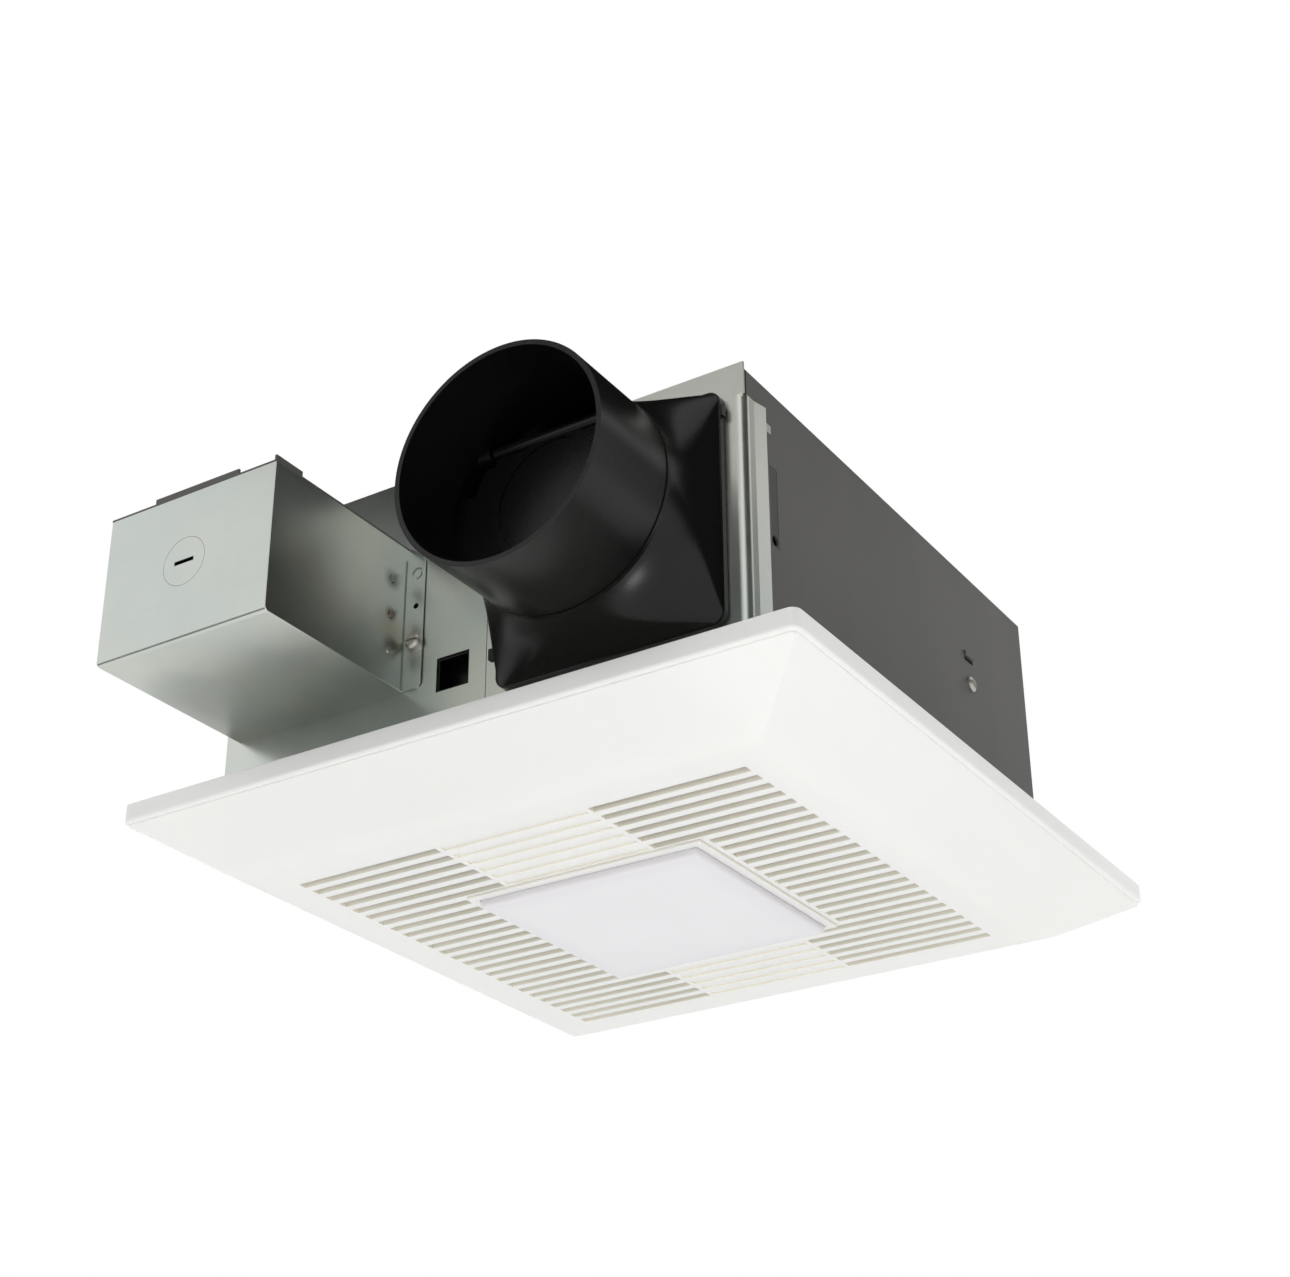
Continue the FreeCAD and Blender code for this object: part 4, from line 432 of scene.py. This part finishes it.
def zinc_pattern(tree, place):
    """Spangle and clouds as one pattern."""
    crystals = add(tree, "ShaderNodeTexVoronoi", {"Scale": per_metre(SPANGLE_MM), "Randomness": 1.0},
                   {"Vector": place})
    clouds = add(tree, "ShaderNodeTexNoise", {"Scale": per_metre(CLOUD_MM), "Detail": 4.0}, {"Vector": place})
    mixed = add(tree, "ShaderNodeMix", {"Factor": CLOUD_SHARE},
                {"A": crystals.outputs["Color"], "B": clouds.outputs["Fac"]}, data_type="RGBA")
    return mixed.outputs["Result"]


def zinc_colour(tree, place, pattern):
    """The sheet's colour: two tones of zinc under the tints of its film."""
    tone = add(tree, "ShaderNodeMix", {"A": colour("#BFC3BC"), "B": colour("#D8DBD5")}, {"Factor": pattern},
               data_type="RGBA")
    bloom = add(tree, "ShaderNodeTexNoise", {"Scale": per_metre(FILM_MM), "Detail": 1.0}, {"Vector": place})
    straw = add(tree, "ShaderNodeMapRange", {"From Min": 0.38, "From Max": 0.62},
                {"Value": bloom.outputs["Fac"]}, interpolation_type="SMOOTHSTEP")
    film = add(tree, "ShaderNodeMix", {"A": colour("#BCC8C6"), "B": colour("#DFDBCF")},
               {"Factor": straw.outputs["Result"]}, data_type="RGBA")
    coated = add(tree, "ShaderNodeMix", {"Factor": FILM_SHARE},
                 {"A": tone.outputs["Result"], "B": film.outputs["Result"]}, data_type="RGBA")
    return coated.outputs["Result"]


print("spangle", SPANGLE_MM, "mm, clouds", CLOUD_MM, "mm, film", FILM_MM, "mm")

# %% [markdown]
# ## Weld marks on the wiring box
# The wiring box is spot welded, which leaves three grey or brown spots on its wall and a straw heat tint
# round the lower two. A painted picture would need an unwrapped mesh, so each mark is a soft spot: the
# nearer a point lies to the weld, the more of the burnt colour it takes.

# %% Weld marks
# Each mark: y and z on the wall, radius, strength, colour.
HEAT_TINT = (-0.1505, 0.0545, 0.0130, 0.50, "#B4A888")
TOP_WELD = (-0.151, 0.0780, 0.0065, 0.62, "#565B52")
MIDDLE_WELD = (-0.151, 0.0614, 0.0048, 0.70, "#5A4638")
LOW_WELD = (-0.150, 0.0468, 0.0070, 0.62, "#4F544C")
WELD_CORE = 0.0008
box_wall_x = edge_of("junction_cover", 0, max)


def burn_marks(tree, place, zinc, marks):
    """The colour of the sheet with its marks: full within the core, then fading out to the radius."""
    for y, z, radius, strength, burn in marks:
        away = add(tree, "ShaderNodeVectorMath", {1: (box_wall_x, y, z)}, {0: place}, operation="DISTANCE")
        burnt = add(tree, "ShaderNodeMapRange",
                    {"From Min": WELD_CORE, "From Max": radius, "To Min": strength, "To Max": 0.0},
                    {"Value": away.outputs["Value"]}, interpolation_type="SMOOTHSTEP")
        marked = add(tree, "ShaderNodeMix", {"B": colour(burn)},
                     {"Factor": burnt.outputs["Result"], "A": zinc}, data_type="RGBA")
        zinc = marked.outputs["Result"]
    return zinc


print("weld marks on the wall at x", round(box_wall_x, 4), "m")

# %% [markdown]
# ## The two galvanised finishes
# The front plates and the wiring box are the same sheet, and only the box has weld marks. One function
# makes both finishes, with or without marks. Spangle and clouds change the roughness as well, and the slow
# waves that the rolling mill leaves, some 30 mm long, bend the mirror image.

# %% Galvanised steel
ROLL_MM = 30
ROLL_DEPTH = 0.0008


def galvanised_finish(name, marks=()):
    """Zinc-coated sheet with a soft spangle, and with marks where it was welded."""
    material, tree, shader, place = start_finish(name, Metallic=1.0)
    pattern = zinc_pattern(tree, place)
    zinc = burn_marks(tree, place, zinc_colour(tree, place, pattern), marks)
    tree.links.new(zinc, shader.inputs["Base Color"])
    shine = add(tree, "ShaderNodeMapRange",
                {"From Min": 0.25, "From Max": 0.75, "To Min": 0.27, "To Max": 0.33}, {"Value": pattern})
    tree.links.new(shine.outputs["Result"], shader.inputs["Roughness"])
    roll = add(tree, "ShaderNodeTexNoise", {"Scale": per_metre(ROLL_MM), "Detail": 2.0}, {"Vector": place})
    relief = add(tree, "ShaderNodeBump", {"Strength": 0.05, "Distance": ROLL_DEPTH},
                 {"Height": roll.outputs["Fac"]})
    tree.links.new(relief.outputs["Normal"], shader.inputs["Normal"])
    return material


galvanised = galvanised_finish("galvanised_sheet")
welded = galvanised_finish("galvanised_sheet_welded", (HEAT_TINT, TOP_WELD, MIDDLE_WELD, LOW_WELD))
print(galvanised.name, welded.name)

# %% [markdown]
# ## Black ABS: the duct adapter, the damper and the inner mouldings
# The adapter is moulded in black ABS with a fine grain. It reads as deep black with wide grey highlights
# where the flare turns to the light. A darker colour would not make it blacker, since the eye sees little
# but its shine, so its roughness and its weak mirror matter more than its colour.

# %% Black moulded ABS
BLACK_DRIFT_MM = 60
BLACK_GRAIN_MM = 0.6
black_abs, tree, shader, place = start_finish("black_moulded_abs", IOR=1.54, Specular_IOR_Level=0.28)
drift = add(tree, "ShaderNodeTexNoise", {"Scale": per_metre(BLACK_DRIFT_MM), "Detail": 3.0},
            {"Vector": place})
tone = add(tree, "ShaderNodeMix", {"A": colour("#080908"), "B": colour("#0D0E0D")},
           {"Factor": drift.outputs["Fac"]}, data_type="RGBA")
tree.links.new(tone.outputs["Result"], shader.inputs["Base Color"])
fine_grain(tree, shader, place, BLACK_GRAIN_MM, roughness=(0.25, 0.33), strength=0.05)
print(black_abs.name)

# %% [markdown]
# ## Small metal: screws, shaft, springs and the motor
# Zinc-plated screws are bright with a fine turned grain, spring wire is darker and drawn along its length,
# and the motor case is matt die-cast aluminium. Three trees could be written out, but the metals differ only
# in tone, roughness and grain, so one loop makes them from a short list.

# %% Small metals
# Each line: dark tone, light tone, least and greatest roughness, grain in millimetres.
METALS = {
    "zinc_plated_steel": ("#AEADA6", "#C8C7C0", 0.36, 0.48, 0.8),
    "drawn_spring_steel": ("#77766F", "#979690", 0.26, 0.40, 0.6),
    "die_cast_aluminium": ("#9EA1A2", "#BFC1C1", 0.42, 0.58, 1.6),
}
small_metal = {}
for name, (dark, light, smooth, rough, grain_mm) in METALS.items():
    small_metal[name], tree, shader, place = start_finish(name, Metallic=1.0)
    noise = fine_grain(tree, shader, place, grain_mm, (smooth, rough), strength=0.08, detail=3.0)
    tone = add(tree, "ShaderNodeMix", {"A": colour(dark), "B": colour(light)}, {"Factor": noise},
               data_type="RGBA")
    tree.links.new(tone.outputs["Result"], shader.inputs["Base Color"])
print(sorted(small_metal))

# %% [markdown]
# ## Soft and small plastics
# Foam, rubber, the dark grey of the slot plugs, nylon, solder mask and the yellow phosphor of the light
# emitters are all dull plastics that show little. They still differ in tone and in the size of their grain,
# so one loop makes them in the same way, with a deeper grain than the metals have.

# %% Small plastics
# Each line: dark tone, light tone, least and greatest roughness, grain in millimetres.
PLASTICS = {
    "closed_cell_foam": ("#121212", "#232323", 0.85, 1.0, 1.2),
    "soft_black_rubber": ("#0E0E0E", "#1A1A1A", 0.60, 0.75, 0.8),
    "dark_grey_slot_plug": ("#3C3D3A", "#484946", 0.50, 0.65, 1.0),
    "white_nylon": ("#DDDCD5", "#E8E7E1", 0.45, 0.60, 1.0),
    "green_solder_mask": ("#123A24", "#1E5435", 0.30, 0.45, 2.5),
    "yellow_phosphor": ("#E9C84A", "#F2DA73", 0.35, 0.50, 0.6),
}
small_plastic = {}
for name, (dark, light, smooth, rough, grain_mm) in PLASTICS.items():
    small_plastic[name], tree, shader, place = start_finish(name, IOR=1.5)
    noise = fine_grain(tree, shader, place, grain_mm, (smooth, rough), strength=0.15, depth_mm=0.2)
    tone = add(tree, "ShaderNodeMix", {"A": colour(dark), "B": colour(light)}, {"Factor": noise},
               data_type="RGBA")
    tree.links.new(tone.outputs["Result"], shader.inputs["Base Color"])
print(sorted(small_plastic))

# %% [markdown]
# ## Dressing the pieces
# Each piece of the fan is one object that already has its shape, so dressing it means filling its material
# slot. The finish could be set piece by piece, but the record names a slot for every piece, so one table
# says which finish stands for a slot. Two pieces have a finish of their own: the wiring box has weld marks,
# and the plugs of the housing's side slots are a dark grey.

# %% Put the finishes on
FINISH_OF_SLOT = {
    "white_plastic": white_abs,
    "opal_plastic": opal,
    "coated_steel": grey_coat_and_shade,
    "galvanised_steel": galvanised,
    "black_plastic": black_abs,
    "black_foam": small_plastic["closed_cell_foam"],
    "rubber": small_plastic["soft_black_rubber"],
    "zinc_steel": small_metal["zinc_plated_steel"],
    "cast_aluminium": small_metal["die_cast_aluminium"],
    "circuit_board": small_plastic["green_solder_mask"],
    "emitter_yellow": small_plastic["yellow_phosphor"],
    "spring_steel": small_metal["drawn_spring_steel"],
    "white_nylon": small_plastic["white_nylon"],
}
FINISH_OF_PIECE = {"junction_box": welded, "slot_plugs": small_plastic["dark_grey_slot_plug"]}
for entry in frame["record"]["subparts"]:
    piece = pieces[entry["node"]]
    piece.data.materials.clear()
    piece.data.materials.append(FINISH_OF_PIECE.get(entry["node"], FINISH_OF_SLOT[entry["material_slot"]]))
